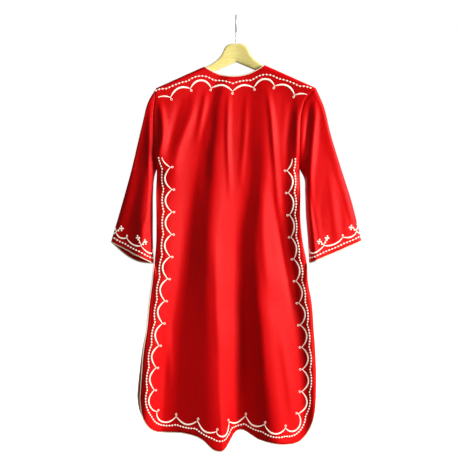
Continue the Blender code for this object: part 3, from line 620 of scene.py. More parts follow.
@dataclass(frozen=True)
class SateenFinish:
    """Cotton sateen: smooth floats of thread that catch the light on one side."""

    deep: tuple = (0.56, 0.0002, 0.0006)
    bright: tuple = (0.82, 0.0010, 0.0026)
    thread: float = 0.55 * MM

    def material(self, name: str) -> bpy.types.Material:
        """Material of the cloth."""
        graph = Graph(name)
        across, down = graph.flat_place()
        warp = stripes(graph, across, self.thread)
        weft = stripes(graph, down + across * 0.25, self.thread * 1.7)
        weave = warp * 0.65 + weft * 0.35
        slub = graph.noise(60.0, 3.0, (1.0, 1.0, 0.12))
        cloudy = graph.noise(7.0, 2.0)
        tone = weave * 0.16 + slub * 0.34 + cloudy * 0.5
        color = graph.blend(tone, self.deep, self.bright)
        rough = slub * 0.16 + 0.36
        wrinkle = graph.noise(34.0, 2.0, (1.0, 1.0, 0.45))
        normal = graph.bump(weave * 0.12 + wrinkle * 0.9, 0.0016, 0.5)
        return graph.finish(
            Base_Color=color,
            Roughness=rough,
            Normal=normal,
            Specular_IOR_Level=0.10,
        )


@dataclass(frozen=True)
class StitchFinish:
    """Stranded embroidery thread in close stitches, glowing as painted light to stay bright in shade."""

    light: tuple = (1.0, 0.94, 0.82)
    shade: tuple = (0.90, 0.76, 0.60)
    # painted light: emission that keeps the thread pale and bright where it lies in shade
    painted_glow: float = 0.46
    strand: float = 0.6 * MM

    def material(self, name: str) -> bpy.types.Material:
        """Material of the thread."""
        graph = Graph(name)
        along, around = graph.flat_place()
        strands = stripes(graph, along + around * 0.35, self.strand)
        tone = strands * 0.45 + graph.noise(180.0, 2.0) * 0.55
        color = graph.blend(tone, self.shade, self.light)
        return graph.finish(
            Base_Color=color,
            Emission_Color=color,
            Emission_Strength=self.painted_glow,
            Roughness=0.5 - strands * 0.12,
            Normal=graph.bump(strands, 0.0004, 0.4),
        )


@dataclass(frozen=True)
class PipingFinish:
    """Cream cotton cut on the bias and folded over the edge, with a faint glow as painted light."""

    light: tuple = (0.91, 0.79, 0.62)
    shade: tuple = (0.77, 0.62, 0.46)
    # painted light: faint emission that keeps the piping pale where it lies in shade
    painted_glow: float = 0.12
    rib: float = 0.7 * MM

    def material(self, name: str) -> bpy.types.Material:
        """Material of the piping."""
        graph = Graph(name)
        along, around = graph.flat_place()
        first = stripes(graph, along + around, self.rib)
        second = stripes(graph, along - around, self.rib)
        pucker = graph.noise(120.0, 2.0)
        tone = first * 0.2 + second * 0.2 + pucker * 0.6
        color = graph.blend(tone, self.shade, self.light)
        return graph.finish(
            Base_Color=color,
            Emission_Color=color,
            Emission_Strength=self.painted_glow,
            Roughness=0.62 + pucker * 0.2,
            Normal=graph.bump(first * 0.3 + second * 0.3 + pucker, 0.0005, 0.5),
        )


@dataclass(frozen=True)
class WoodFinish:
    """Pale wood under thin clear varnish, its grain along the arms."""

    light: tuple = (0.98, 0.90, 0.34)
    dark: tuple = (0.80, 0.60, 0.14)

    def material(self, name: str) -> bpy.types.Material:
        """Material of the wood."""
        graph = Graph(name)
        grain = graph.noise(95.0, 5.0, (0.10, 1.0, 1.0))
        pores = graph.noise(700.0, 2.0, (0.06, 1.0, 1.0))
        bands = stripes(graph, grain, 0.16)
        tone = 1.0 - (bands * 0.3 + grain * 0.35 + pores * 0.2)
        return graph.finish(
            Base_Color=graph.blend(tone, self.dark, self.light),
            Roughness=0.34 + pores * 0.2,
            Normal=graph.bump(pores * 0.4 + bands * 0.6, 0.0003, 0.35),
            Coat_Weight=0.3,
            Coat_Roughness=0.25,
        )


@dataclass(frozen=True)
class WireFinish:
    """Bright drawn steel wire."""

    color: tuple = (0.74, 0.74, 0.72)

    def material(self, name: str) -> bpy.types.Material:
        """Material of the wire."""
        graph = Graph(name)
        drawn = graph.noise(900.0, 2.0, (1.0, 1.0, 0.05))
        soft = graph.noise(30.0, 2.0)
        tone = drawn * 0.3 + soft * 0.7
        return graph.finish(
            Base_Color=graph.blend(tone, tuple(0.8 * part for part in self.color), self.color),
            Roughness=0.38 + drawn * 0.12,
            Metallic=0.85,
            Normal=graph.bump(drawn, 0.00003, 0.15),
        )


class Finish(Enum):
    """Material name of each finish, and the finish itself."""

    CLOTH = ("red_cloth", SateenFinish())
    PIPING = ("cream_piping", PipingFinish())
    THREAD = ("cream_thread", StitchFinish())
    WOOD = ("pale_wood", WoodFinish())
    WIRE = ("hook_metal", WireFinish())


class Workbox:
    """The five materials, made once and used by every piece."""

    def __init__(self) -> None:
        self.materials = {kind: kind.value[1].material(kind.value[0]) for kind in Finish}

    def dress(self, piece: bpy.types.Object, kind: Finish, node: str) -> bpy.types.Object:
        """Give a piece its finish and its place in the frame.

        Args:
            piece: the new object.
            kind: its finish.
            node: name of the solid that it stands for.
        Returns:
            The same object.
        """
        piece.data.materials.append(self.materials[kind])
        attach(piece, BODY)
        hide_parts(node)
        LOG.info("%s: %d faces", piece.name, len(piece.data.polygons))
        return piece


@dataclass
class Sewing:
    """Points, faces and flat places of one mesh, gathered piece by piece."""

    points: list = field(default_factory=list)
    faces: list = field(default_factory=list)
    places: list = field(default_factory=list)
    count: int = 0

    def grid(
        self, points: Array, flat: Array, ring: bool = False, loop: bool = False, turn: bool = False
    ) -> None:
        """Add a grid of quads.

        Args:
            points: rows and columns of points.
            flat: flat places, with one more row or column than the points where the grid closes.
            ring: whether the last column joins the first.
            loop: whether the last row joins the first.
            turn: whether its faces are turned over.
        """
        rows, columns = points.shape[:2]
        steps = np.arange(rows - (not loop)), np.arange(columns - (not ring))
        row, column = (part.ravel() for part in np.meshgrid(*steps, indexing="ij"))
        corners = [(row + down, column + over) for down, over in ((0, 0), (0, 1), (1, 1), (1, 0))]
        if turn:
            corners = corners[::-1]
        quads = np.stack([a % rows * columns + b % columns for a, b in corners], axis=1)
        self.faces.extend((quads + self.count).tolist())
        self.places.append(np.stack([flat[corner] for corner in corners], axis=1).reshape(-1, 2))
        self.points.append(points.reshape(-1, 3))
        self.count += rows * columns

    def tube(self, rings: Array, closed: bool = False) -> None:
        """Add a tube.

        Args:
            rings: its sections, each a ring of points that starts underneath.
            closed: whether its end joins its start; otherwise both ends are capped.
        """
        centres = rings.mean(axis=1)
        if closed:
            centres = np.concatenate([centres, centres[:1]])
        first = np.concatenate([rings[0], rings[0, :1]])
        flat = np.stack(np.meshgrid(distances(centres), distances(first), indexing="ij"), axis=2)
        self.grid(rings, flat, ring=True, loop=closed)
        if not closed:
            around, start = rings.shape[1], self.count - rings.shape[0] * rings.shape[1]
            for cap in (range(start, start + around), range(self.count - 1, self.count - around - 1, -1)):
                self.faces.append(list(cap))
                self.places.append(np.zeros((around, 2)))

    def object(self, name: str) -> bpy.types.Object:
        """Object of all that was gathered, shaded smooth.

        Args:
            name: its name.
        Returns:
            The object.
        """
        mesh = bpy.data.meshes.new(name)
        mesh.from_pydata(np.concatenate(self.points).tolist(), [], self.faces)
        pattern = mesh.uv_layers.new(name="pattern")
        pattern.data.foreach_set("uv", np.concatenate(self.places).ravel().astype(np.float32))
        mesh.shade_smooth()
        return new_object(name, mesh)


def cloth_piece(name: str, points: Array, flat: Array, ring: bool, turn: bool) -> bpy.types.Object:
    """Thin shell of cloth.

    Args:
        name: name of the piece.
        points: grid of points of its outer face.
        flat: flat place of each point.
        ring: whether it is a tube.
        turn: whether its faces are turned over to point out.
    Returns:
        The object, with its thickness as a Solidify modifier.
    """
    sewing = Sewing()
    sewing.grid(points, flat, ring, turn=turn)
    piece = sewing.object(name)
    shell = piece.modifiers.new("thickness", "SOLIDIFY")
    shell.thickness = SHELL
    shell.offset = -1.0
    return piece


def round_rings(path: Array, up: Array, half_wide: Array, half_high: Array, sides: int) -> Array:
    """Oval rings along a path, each starting underneath.

    Args:
        path: points of the centre line.
        up: unit vectors away from what it lies on.
        half_wide: half width at each point.
        half_high: half height at each point.
        sides: number of points in a ring.
    Returns:
        The rings.
    """
    tangents = unit(np.gradient(path, axis=0))
    beside = unit(np.cross(tangents, up))
    above = unit(np.cross(beside, tangents))
    angles = -math.pi / 2 + 2.0 * math.pi * np.arange(sides) / sides
    wide = np.broadcast_to(np.asarray(half_wide, float), (len(path),))[:, None, None]
    high = np.broadcast_to(np.asarray(half_high, float), (len(path),))[:, None, None]
    across = np.cos(angles)[None, :, None] * beside[:, None] * wide
    return path[:, None] + across + np.sin(angles)[None, :, None] * above[:, None] * high


@dataclass(frozen=True)
class Panel:
    """The back or the front of the dress, from its shoulders to its hem."""

    name: str
    side: int
    neck_depth: float
    neck_power: float
    body_half: float
    folds: tuple
    creases: list
    border_start: float = 0.183
    corner_out: float = 0.0
    columns: int = 166
    rows: int = 236

    def top(self, across: Array) -> Array:
        """Height of the panel's top edge: shoulder seams and neckline.

        Args:
            across: shares of the way across.
        Returns:
            Its heights.
        """
        x = lerp(-TIP_X, TIP_X, across)
        share = np.clip((x - NECK_LEFT) / (NECK_RIGHT - NECK_LEFT), 0.0, 1.0)
        scoop = 1.0 - np.abs(2.0 * share - 1.0) ** self.neck_power
        neck = lerp(roof(NECK_LEFT), roof(NECK_RIGHT), share) - self.neck_depth * scoop
        return np.where((x <= NECK_LEFT) | (x >= NECK_RIGHT), roof(x), neck)

    def bottom(self, across: Array) -> Array:
        """Height of the hem, with its rounded corners.

        Args:
            across: shares of the way across.
        Returns:
            Its heights.
        """
        x, left, right = width_point(CORNER_Z, across)
        rise = corner_rise(x - left, CORNER_LEFT, CORNER_Z - HEM.read(0.0, "z"))
        rise += corner_rise(right - x, CORNER_RIGHT, CORNER_Z - HEM.read(1.0, "z"))
        return HEM.read((x - left) / (right - left), "z") + rise

    def fold(self, share: Array, z: Array) -> Array:
        """How far the folds stand out of the panel.

        Args:
            share: shares of the way across.
            z: heights of the same places.
        Returns:
            The distance at each place.
        """
        tables = [Table("z place out", *zip(FOLD_HEIGHTS, places, sizes)) for _, places, sizes in self.folds]
        lines = [table.read_all(z) for table in tables]
        lines = [(0.0 * z, lines[0][1] / 2), *lines, (0.0 * z + 1.0, lines[-1][1] / 2)]
        out = lines[0][1]
        for (start, low), (end, high) in zip(lines[:-1], lines[1:]):
            out = np.where(share > start, lerp(low, high, ramp((share - start) / (end - start))), out)
        return out * MM

    def shares(self) -> tuple[Array, Array]:
        """Shares of the way across and down where the shell has its points."""
        neck = [(x + TIP_X) / (2 * TIP_X) for x in (NECK_LEFT, NECK_RIGHT)]
        across = np.unique(np.concatenate([np.linspace(0.0, 1.0, self.columns), neck]))
        return across, np.linspace(0.0, 1.0, self.rows) ** ROWS_CLOSE_ABOVE

    def points(self) -> Array:
        """Points of the outer face, row by row from the top."""
        across, down = np.meshgrid(*self.shares())
        edge_z = lerp(TIP_Z, CORNER_Z, down)
        x, left, right = width_point(edge_z, across)
        z = lerp(self.top(across), self.bottom(across), down)
        swing = self.corner_out * ease((SLIT_Z - edge_z) / (SLIT_Z - CORNER_Z)) ** 2
        x, left = x - swing * (1.0 - across) ** EDGE_REACH, left - swing
        depth = np.maximum(roof(x) - z, 0.0)
        fade = ease((depth - ROLL_DEPTH) / FOLDS_FADE_OVER)
        inside = roll_half(depth, self.body_half) + FLARE * depth
        pressed = self.fold((x - left) / (right - left), z)
        pressed += sum(crease.field(x, z) for crease in self.creases)
        inside += fade * pressed
        edge = lerp(edge_half(left, edge_z), edge_half(right, edge_z), across)
        cap = 1.0 - np.exp(-(x - left) / CURL.read(edge_z, "left_ease"))
        cap = cap * (1.0 - np.exp(-(right - x) / CURL.read(edge_z, "right_ease")))
        standing = SLIT_STAND * ease((SLIT_Z - edge_z) / STAND_OVER)
        half = lerp(edge, inside, lerp(standing, 1.0, cap))
        from_edge = np.minimum(x - left, right - x)
        seam = np.exp(-(from_edge / SEAM_WIDTH) ** 2) * ease((depth - ROLL_DEPTH) / SEAM_FADES_OVER)
        half -= SEAM_TUCK * np.where(edge_z > ARMPIT_Z, seam, 0.0)
        half = np.maximum(half, HALF_GAP)
        y = middle(x, z) - side_curl(x - left, right - x, edge_z) + self.side * half
        return np.stack([x, y, z], axis=2)

    def flat(self, points: Array) -> Array:
        """Flat place of each point: over the folds from the middle, and down.

        Args:
            points: grid of points of the outer face.
        Returns:
            Two flat coordinates for each point.
        """
        steps = np.linalg.norm(np.diff(points[:, :, :2], axis=1), axis=2)
        over = np.concatenate([np.zeros((len(points), 1)), np.cumsum(steps, axis=1)], axis=1)
        centre = np.argmin(np.abs(points[0, :, 0]))
        return np.stack([over - over[:, centre:centre + 1], -points[:, :, 2]], axis=2)


@dataclass(frozen=True)
class Sleeve:
    """A set-in sleeve, as rings from the armhole to the cuff.

    lines are its outer fold and inner seam, and cuff its half depth in millimetres from
    the outer fold to the inner seam.
    """

    name: str
    side: int
    lines: Table
    cuff: Table
    near_creases: list
    far_creases: list
    half_ring: int = 62
    rings: int = 140
    far_drop: float = 18 * MM
    fold_ease: float = 0.12
    seam_ease: float = 0.06
    tuck_over: float = 0.008
    tuck_from: float = 0.05

    def face(self, pressed: list, column: str, down: Array, along: Array) -> Array:
        """Points of the near or the far face.

        Args:
            pressed: the creases pressed into it.
            column: near or far.
            down: shares of the way from the outer fold to the inner seam.
            along: shares of the way from the armhole to the cuff.
        Returns:
            A grid of points, a row for each share along.
        """
        down, along = np.meshgrid(down, along)
        outer_x, outer_z, inner_x, inner_z = self.lines.read_all(along)
        x, z = lerp(outer_x, inner_x, down), lerp(outer_z, inner_z, down)
        seam_z = lerp(TIP_Z, ARMPIT_Z, down)
        seam_x = EDGES.read(seam_z, self.name)
        straight = lerp(self.lines.read(0.0, "outer_x"), self.lines.read(0.0, "inner_x"), down)
        x = x + (seam_x - straight) * (1.0 - along) ** 2
        half = lerp(armhole_half(seam_x, seam_z), self.cuff.read(down, column) * MM, ease(along))
        room = ease(down / self.fold_ease) * ease((1.0 - down) / self.fold_ease)
        room = room * ease(along / self.seam_ease)
        half = half + room * sum(crease.field(x, z) for crease in pressed)
        half -= SEAM_TUCK * np.exp(-(along / self.tuck_over) ** 2) * ease(down / self.tuck_from)
        half = np.maximum(half, 0.0)
        if column == "near":
            return np.stack([x, middle(x, z) - half, z], axis=2)
        z = z - self.far_drop * np.sin(np.pi * down) * along ** 2
        return np.stack([x, middle(x, z) + half, z], axis=2)

    def points(self) -> Array:
        """Rings of points of the outer face: down the near face and up the far one."""
        turn = np.linspace(0.0, math.pi, self.half_ring)
        down = (1.0 - np.cos(turn)) / 2
        along = np.linspace(0.0, 1.0, self.rings) ** RINGS_CLOSE_ABOVE
        near = self.face(self.near_creases, "near", down, along)
        far = self.face(self.far_creases, "far", down, along)
        return np.concatenate([near, far[:, -2:0:-1]], axis=1)

    def flat(self, points: Array) -> Array:
        """Flat place of each point: round the cuff, and up from the cuff's edge.

        Args:
            points: rings of points of the outer face.
        Returns:
            Two flat coordinates for each point and for the seam's second side.
        """
        closed = np.concatenate([points, points[:, :1]], axis=1)
        around = distances(closed[-1])
        steps = np.linalg.norm(np.diff(closed[::-1], axis=0), axis=2)
        up = np.concatenate([np.zeros((1, closed.shape[1])), np.cumsum(steps, axis=0)])[::-1]
        return np.stack([np.broadcast_to(around, up.shape), up], axis=2)


BACK = Panel(
    "back", -1, 0.028, 2.2, 28 * MM,
    (
        ("left ridge", (0.07, 0.05, 0.030, 0.025, 0.025), (1, 3, 6, 9, 10)),
        ("left valley", (0.39, 0.267, 0.190, 0.135, 0.125), (-3, -8, -12, -13, -14)),
        ("middle ridge", (0.46, 0.42, 0.381, 0.412, 0.46), (3, 8, 14, 20, 26)),
        ("middle valley", (0.64, 0.650, 0.562, 0.560, 0.553), (-1.0, -2.0, -6.5, -15, -18)),
        ("right ridge", (0.75, 0.745, 0.70, 0.708, 0.775), (1.5, 3, 10, 19, 22)),
        ("right valley", (0.89, 0.880, 0.925, 0.945, 0.95), (-3, -8, -11, -8, -5)),
    ),
    creases(
        (8.5, 6.5, -203, -214.5, -194, -250, -189, -290, -190, -330, -199, -360, -207, -385),
        (12, -3.4, -140, -214.5, -156, -274, -173, -345, -182, -410),
        (12, 4.5, -104, -201.5, -117, -261, -135, -313, -151, -365, -161, -450),
        (7, 2.6, -78, -201.5, -85.8, -248, -101.4, -330),
        (14, -3.4, -57, -214.5, -62.4, -300, -75.4, -378, -80.6, -470),
        (6.5, 3.4, -18, -205, -21, -274, -21, -352, -15.6, -470),
        (8, 2.4, 28.6, -205, 21, -326, 10.4, -450),
        (7.5, 4.4, 83, -200, 91, -261, 96.2, -326, 104, -417, 112, -520),
        (7.5, 6, 162, -240, 160, -300, 160, -365, 163, -420),
        (12, -4.2, 147, -214.5, 141.6, -274, 134, -352, 132.6, -450),
        (9.5, -4.6, 88.4, -445, 109, -560, 127.4, -664, 145.6, -760),
        (14, 3, 67.6, -450, 72.8, -586, 88.4, -720),
        (10, 2.2, -186, -755, -176, -860, -170, -960),
        (11, 3, 118, -830, 132, -930, 150, -1060),
        (10, 2, -50, -600, -46, -760, -38, -900),
    ),
)
FRONT = Panel(
    "front", 1, 0.105, 1.6, 26 * MM,
    (
        ("left ridge", (0.10, 0.10, 0.11, 0.12, 0.13), (2, 4, 7, 9, 10)),
        ("left valley", (0.22, 0.24, 0.26, 0.27, 0.28), (-2, -5, -8, -10, -12)),
        ("middle ridge", (0.40, 0.39, 0.41, 0.43, 0.42), (2, 6, 10, 14, 17)),
        ("middle valley", (0.55, 0.56, 0.58, 0.60, 0.60), (-2, -5, -9, -11, -13)),
        ("right ridge", (0.73, 0.72, 0.74, 0.75, 0.77), (3, 7, 10, 13, 16)),
        ("right valley", (0.90, 0.89, 0.90, 0.91, 0.91), (-2, -4, -7, -7, -6)),
    ),
    creases(
        (10, 5, -190, -220, -178, -262, -176, -310, -190, -352),
        (9, 4.4, 170, -230, 152, -270, 148, -318, 158, -360),
        (13, -4, -120, -210, -132, -300, -150, -420),
        (9, 3.2, -75, -255, -83, -350, -80, -500),
        (12, -3.6, -20, -270, -14, -400, -20, -560),
        (7.5, 3.4, 40, -265, 46, -380, 40, -520),
        (11, -3.8, 100, -215, 110, -320, 104, -470),
        (10, 3.2, 60, -560, 72, -700, 66, -850),
        (12, -3.4, -100, -600, -112, -760, -106, -930),
        (9, 2.6, 150, -700, 156, -850, 150, -1000),
    ),
    border_start=0.238,
    corner_out=10 * MM,
)
LEFT_SLEEVE = Sleeve(
    "left", -1,
    Table(
        "along outer_x outer_z inner_x inner_z",
        (0.0, -TIP_X, TIP_Z, -0.2055, ARMPIT_Z),
        (0.1, -0.2265, -0.226, -0.2125, -0.424),
        (0.25, -0.243, -0.288, -0.2155, -0.461),
        (0.5, -0.2697, -0.402, -0.216, -0.523),
        (0.75, -0.297, -0.502, -0.216, -0.585),
        (1.0, -0.3224, -0.59, -0.2135, -0.645),
    ),
    Table(
        "down near far",
        (0.0, 0.0, 0.0),
        (0.005, 2.2, 2.2),
        (0.02, 4.2, 4.4),
        (0.05, 6.2, 8),
        (0.2, 11, 17),
        (0.45, 21, 25),
        (0.7, 31, 25),
        (0.88, 26, 17),
        (0.94, 22, 10),
        (0.975, 14, 6),
        (1.0, 0.0, 0.0),
    ),
    creases(
        (7, 3.6, -221, -225, -223.6, -300, -223.6, -378, -222, -450, -227, -530, -235, -600),
        (13, -1.5, -242, -330, -252, -420, -266, -510, -276, -570),
        (9, 1.2, -250, -390, -276, -490, -296, -570),
        (7, 2.2, -228, -520, -240, -560, -238, -620),
    ),
    creases(
        (9, 4, -225, -240, -232, -340, -246, -480, -262, -590),
        (10, -3.4, -236, -330, -262, -450, -290, -570),
    ),
)
RIGHT_SLEEVE = Sleeve(
    "right", 1,
    Table(
        "along outer_x outer_z inner_x inner_z",
        (0.0, TIP_X, TIP_Z, 0.165, ARMPIT_Z),
        (0.1, 0.2265, -0.238, 0.178, -0.424),
        (0.25, 0.243, -0.303, 0.181, -0.461),
        (0.5, 0.27, -0.391, 0.1835, -0.523),
        (0.75, 0.3016, -0.4875, 0.189, -0.585),
        (1.0, 0.3276, -0.588, 0.1924, -0.645),
    ),
    Table(
        "down near far",
        (0.0, 0.0, 0.0),
        (0.005, 2.2, 2.2),
        (0.02, 4.4, 4.4),
        (0.05, 8, 8),
        (0.15, 13, 14),
        (0.35, 21, 23),
        (0.5, 26, 26),
        (0.64, 30, 25),
        (0.8, 35, 20),
        (0.95, 31, 10),
        (0.985, 17, 5),
        (1.0, 0.0, 0.0),
    ),
    creases(
        (8.5, 6, 204, -212, 205, -260, 199, -340, 192, -430, 193, -580),
        (6, -2.6, 189, -238, 183, -300, 175, -370),
        (9, -0.8, 223.6, -440, 219, -521, 223, -600),
        (10, 2, 243, -400, 254.8, -521, 266, -600),
        (8, -0.9, 268, -470, 274.5, -540, 276, -595),
        (9, 1.2, 284, -440, 300, -530),
    ),
    creases(
        (9, 4.2, 190, -250, 198, -360, 216, -500, 232, -600),
        (10, -3.6, 224, -300, 244, -430, 268, -570),
    ),
    far_drop=3 * MM,
)


# How far round the cuff each twelfth of its border lies, from the outer fold
CUFF_SPACING = Table(
    "share around",
    (0.0, 0.0),
    (0.0833, 0.03),
    (0.25, 0.148),
    (0.4167, 0.315),
    (0.5833, 0.48),
    (0.75, 0.66),
    (0.9167, 0.85),
    (1.0, 1.0),
)


@dataclass(frozen=True)
class Border:
    """Sizes of one scallop border, measured in from the edge of the cloth."""

    inset: float
    bulge: float
    wide: float = 4.4 * MM
    narrow: float = 1.8 * MM
    high: float = 1.4 * MM
    picot: float = 3.3 * MM
    dots_inset: float = 15.5 * MM
    dots_wave: float = 4.5 * MM
    dots_close: float = 1.0
    dot_pitch: float = 7.4 * MM
    steps: int = 36
    round_cuff: bool = False


@dataclass(frozen=True)
class Guide:
    """Flat line through the cusps of a border.

    turn says on which side of the line the edge lies, count is the number of scallops,
    and shift is how much nearer to the edge than usual each point is.
    """

    border: Border
    line: Array
    turn: int
    count: int
    shift: Array | float = 0.0

    def along(self) -> Array:
        """Share of the way along at each point."""
        return np.linspace(0.0, 1.0, len(self.line))

    def outward(self) -> Array:
        """Unit vectors toward the edge."""
        return outward_of(self.line, self.turn)

    def swell(self, along: Array) -> Array:
        """Swell of the scallops at shares of the way along, 0 at a cusp and 1 at a crown."""
        phase = (along * self.count + 0.5) % 1.0
        return 4.0 * phase * (1.0 - phase)

    def scallop_line(self) -> tuple[Array, Array, Array]:
        """Line of the scallops.

        Returns:
            Its points, its swell, and its outward vectors.
        """
        along, steps = self.along(), self.border.steps
        shares = (np.arange(0, steps * (self.count + 1) + 1) / steps - 0.5) / self.count
        shares = np.unique(np.clip(shares, 0.0, 1.0))
        columns = (*self.line.T, *self.outward().T, np.broadcast_to(self.shift, along.shape))
        x, y, out_x, out_y, shift = (np.interp(shares, along, column) for column in columns)
        away = unit(np.stack([out_x, out_y], axis=1))
        swell = self.swell(shares)
        bulge = self.border.bulge - BULGE_SHARE * shift
        return np.stack([x, y], axis=1) + away * (bulge * swell)[:, None], swell, away


# Section of a satin stitch band: place across and level, starting underneath
BAND_SECTION = (
    (0.0, -0.25), (1.0, -0.1), (0.93, 0.5), (0.55, 0.9), (0.0, 1.0), (-0.55, 0.9), (-0.93, 0.5), (-1.0, -0.1))
# Tip, bend and bud of a sprig's stem: how far in from the cusp, and along the edge
SPRIG = np.array([(15.0, 12.5), (9.0, 3.0), (6.0, 5.5)]) * MM
PETAL_REACH = 4.7 * MM
PETAL_TURN = 0.4


@dataclass
class Embroidery:
    """Cream thread on one piece of cloth."""

    cloth: FlatCloth
    sewing: Sewing = field(default_factory=Sewing)
    lift: float = 0.1 * MM
    end_ease: float = 0.16
    picot_thread: float = 0.75 * MM
    stem_thread: float = 0.8 * MM
    dot_thread: float = 0.45 * MM
    dot: tuple = (5.0 * MM, 4.5 * MM)
    petal: tuple = (4.9 * MM, 4.7 * MM)
    dome: float = 0.34

    def band(self, centre: Array, width: Array, high: float) -> None:
        """Satin stitch band with a rounded top.

        Args:
            centre: flat centre line.
            width: its width at each point.
            high: how far it stands up at its widest.
        """
        square = outward_of(centre, 1)
        tall = high * width / width.max()
        rings = []
        for side, level in BAND_SECTION:
            points, normals = self.cloth.place(centre + square * (width * side / 2)[:, None])
            rings.append(points + normals * (self.lift + tall * level)[:, None])
        self.sewing.tube(np.stack(rings, axis=1))

    def thread(self, line: Array, radius: float, step: float = 1.2 * MM) -> None:
        """Single thread laid along a flat line.

        Args:
            line: the flat line.
            radius: radius of the thread.
            step: distance between its sections.
        """
        even = resample(line, max(int(line_length(line) / step), 4))
        points, normals = self.cloth.place(even)
        path = points + normals * (self.lift + radius * 0.5)
        self.sewing.tube(round_rings(path, normals, radius, radius, 6))

    def dots(self, spots: Array, directions: Array, long: float, wide: float) -> None:
        """Plump stitched dots.

        Args:
            spots: their flat places.
            directions: flat unit vectors along them.
            long: length of a dot.
            wide: width of a dot.
        """
        levels = np.linspace(0.0, 1.0, 5)[:, None]
        angles = 2.0 * math.pi * np.arange(10)[None] / 10
        reach = np.sqrt(1.0 - levels ** 2) * 0.98 + 0.02
        ahead, across = reach * np.cos(angles) * long / 2, reach * np.sin(angles) * wide / 2
        above = levels + 0.0 * angles
        points, normals = self.cloth.place(spots)
        forward = unit(self.cloth.place(spots + directions * MM)[0] - points)
        beside = unit(np.cross(normals, forward))
        for point, up, front, side in zip(points, normals, forward, beside):
            dome = point + front * ahead[..., None] + side * across[..., None]
            self.sewing.tube(dome + up * (above[..., None] * wide * self.dome + self.lift))

    def picot(self, cusp: Array, inward: Array, size: float) -> None:
        """Small loop on a short stem at a cusp.

        Args:
            cusp: flat place of the cusp.
            inward: flat unit vector away from the edge.
            size: size of the loop.
        """
        turn = np.linspace(-0.5 * math.pi, 1.35 * math.pi, 18)[:, None]
        across = np.array([-inward[1], inward[0]])
        loop = np.cos(turn) * across * 0.62 + (1.55 + np.sin(turn) * 0.8) * inward
        stem = [cusp - inward * 0.4 * MM, cusp + inward * size * 0.4]
        self.thread(np.concatenate([stem, cusp + loop * size]), self.picot_thread, 0.9 * MM)

    def sprig(self, cusp: Array, inward: Array) -> None:
        """Two stems that part from a cusp, each with a flower of five dots and a bud.

        Args:
            cusp: flat place of the cusp.
            inward: flat unit vector away from the edge.
        """
        share = np.linspace(0.0, 1.0, 14)[:, None]
        turns = PETAL_TURN + 0.5 * math.pi * np.arange(4)
        petals = PETAL_REACH * np.stack([np.cos(turns), np.sin(turns)], axis=1)
        for side in (-1.0, 1.0):
            tip, bend, bud = cusp + SPRIG @ np.array([inward, (-side * inward[1], side * inward[0])])
            stem = cusp * (1 - share) ** 2 + bend * 2 * share * (1 - share) + tip * share ** 2
            self.thread(stem, self.stem_thread)
            spots = np.array([*(tip + petals), tip, bud])
            self.dots(spots, np.tile(inward, (len(spots), 1)), *self.petal)

    def scallops(self, guide: Guide) -> list[tuple[Array, Array]]:
        """Satin stitch scallops along a guide.

        Args:
            guide: the line through their cusps.
        Returns:
            Flat place of each cusp, with its inward vector.
        """
        border = guide.border
        centre, swell, away = guide.scallop_line()
        number = np.arange(len(swell))
        from_end = np.minimum(number, number[::-1]) / border.steps
        width = lerp(border.narrow, border.wide, np.minimum(swell, ease(from_end / 0.5) * 0.7 + 0.1))
        cusps = np.flatnonzero(swell < 1e-9)
        stops = [0, *cusps, len(centre) - 1]
        for first, last in zip(stops[:-1], stops[1:]):
            if last - first > 3:
                self.band(centre[first:last + 1], width[first:last + 1], border.high)
        return list(zip(centre[cusps], -away[cusps]))

    def dotted_line(self, guide: Guide) -> None:
        """Dots on a thin thread between the scallops and the edge, which wave with them.

        Args:
            guide: the line through the cusps.
        """
        border, along = guide.border, guide.along()
        near_end = ease(np.minimum(along, 1.0 - along) / self.end_ease)
        inset = border.dots_inset * lerp(border.dots_close, 1.0, near_end)
        out = border.inset - inset + border.dots_wave * (guide.swell(along) - 1.0) - DOTS_SHARE * guide.shift
        line = guide.line + guide.outward() * out[:, None]
        even = resample(line, max(int(line_length(line) / border.dot_pitch), 2))
        self.thread(line, self.dot_thread, 2.0 * MM)
        self.dots(even, unit(np.gradient(even, axis=0)), *self.dot)

    def border(self, guide: Guide) -> None:
        """Scallops, a picot or sprig on each cusp, and the dotted line beside them.

        Args:
            guide: the line through the cusps.
        """
        round_cuff = guide.border.round_cuff
        for number, (cusp, inward) in enumerate(self.scallops(guide)):
            if round_cuff and number % 2 == 0:
                self.sprig(cusp, inward)
            else:
                self.picot(cusp, inward, guide.border.picot)
        self.dotted_line(replace(guide, line=guide.line[:-2]) if round_cuff else guide)


def beside_edge(edge: Array, inside: Array, up: Array) -> Array:
    """Centre line of a piping on an edge.

    Args:
        edge: points of the edge.
        inside: the point of the cloth inside each of them.
        up: the cloth's normals along the edge.
    Returns:
        Points of the centre line.
    """
    away = edge - inside
    for axes in (unit(np.gradient(edge, axis=0)), up):
        away = away - np.sum(away * axes, axis=1, keepdims=True) * axes
    return edge + unit(away) * (PIPING_OUT * 0.55) - up * (SHELL / 2)


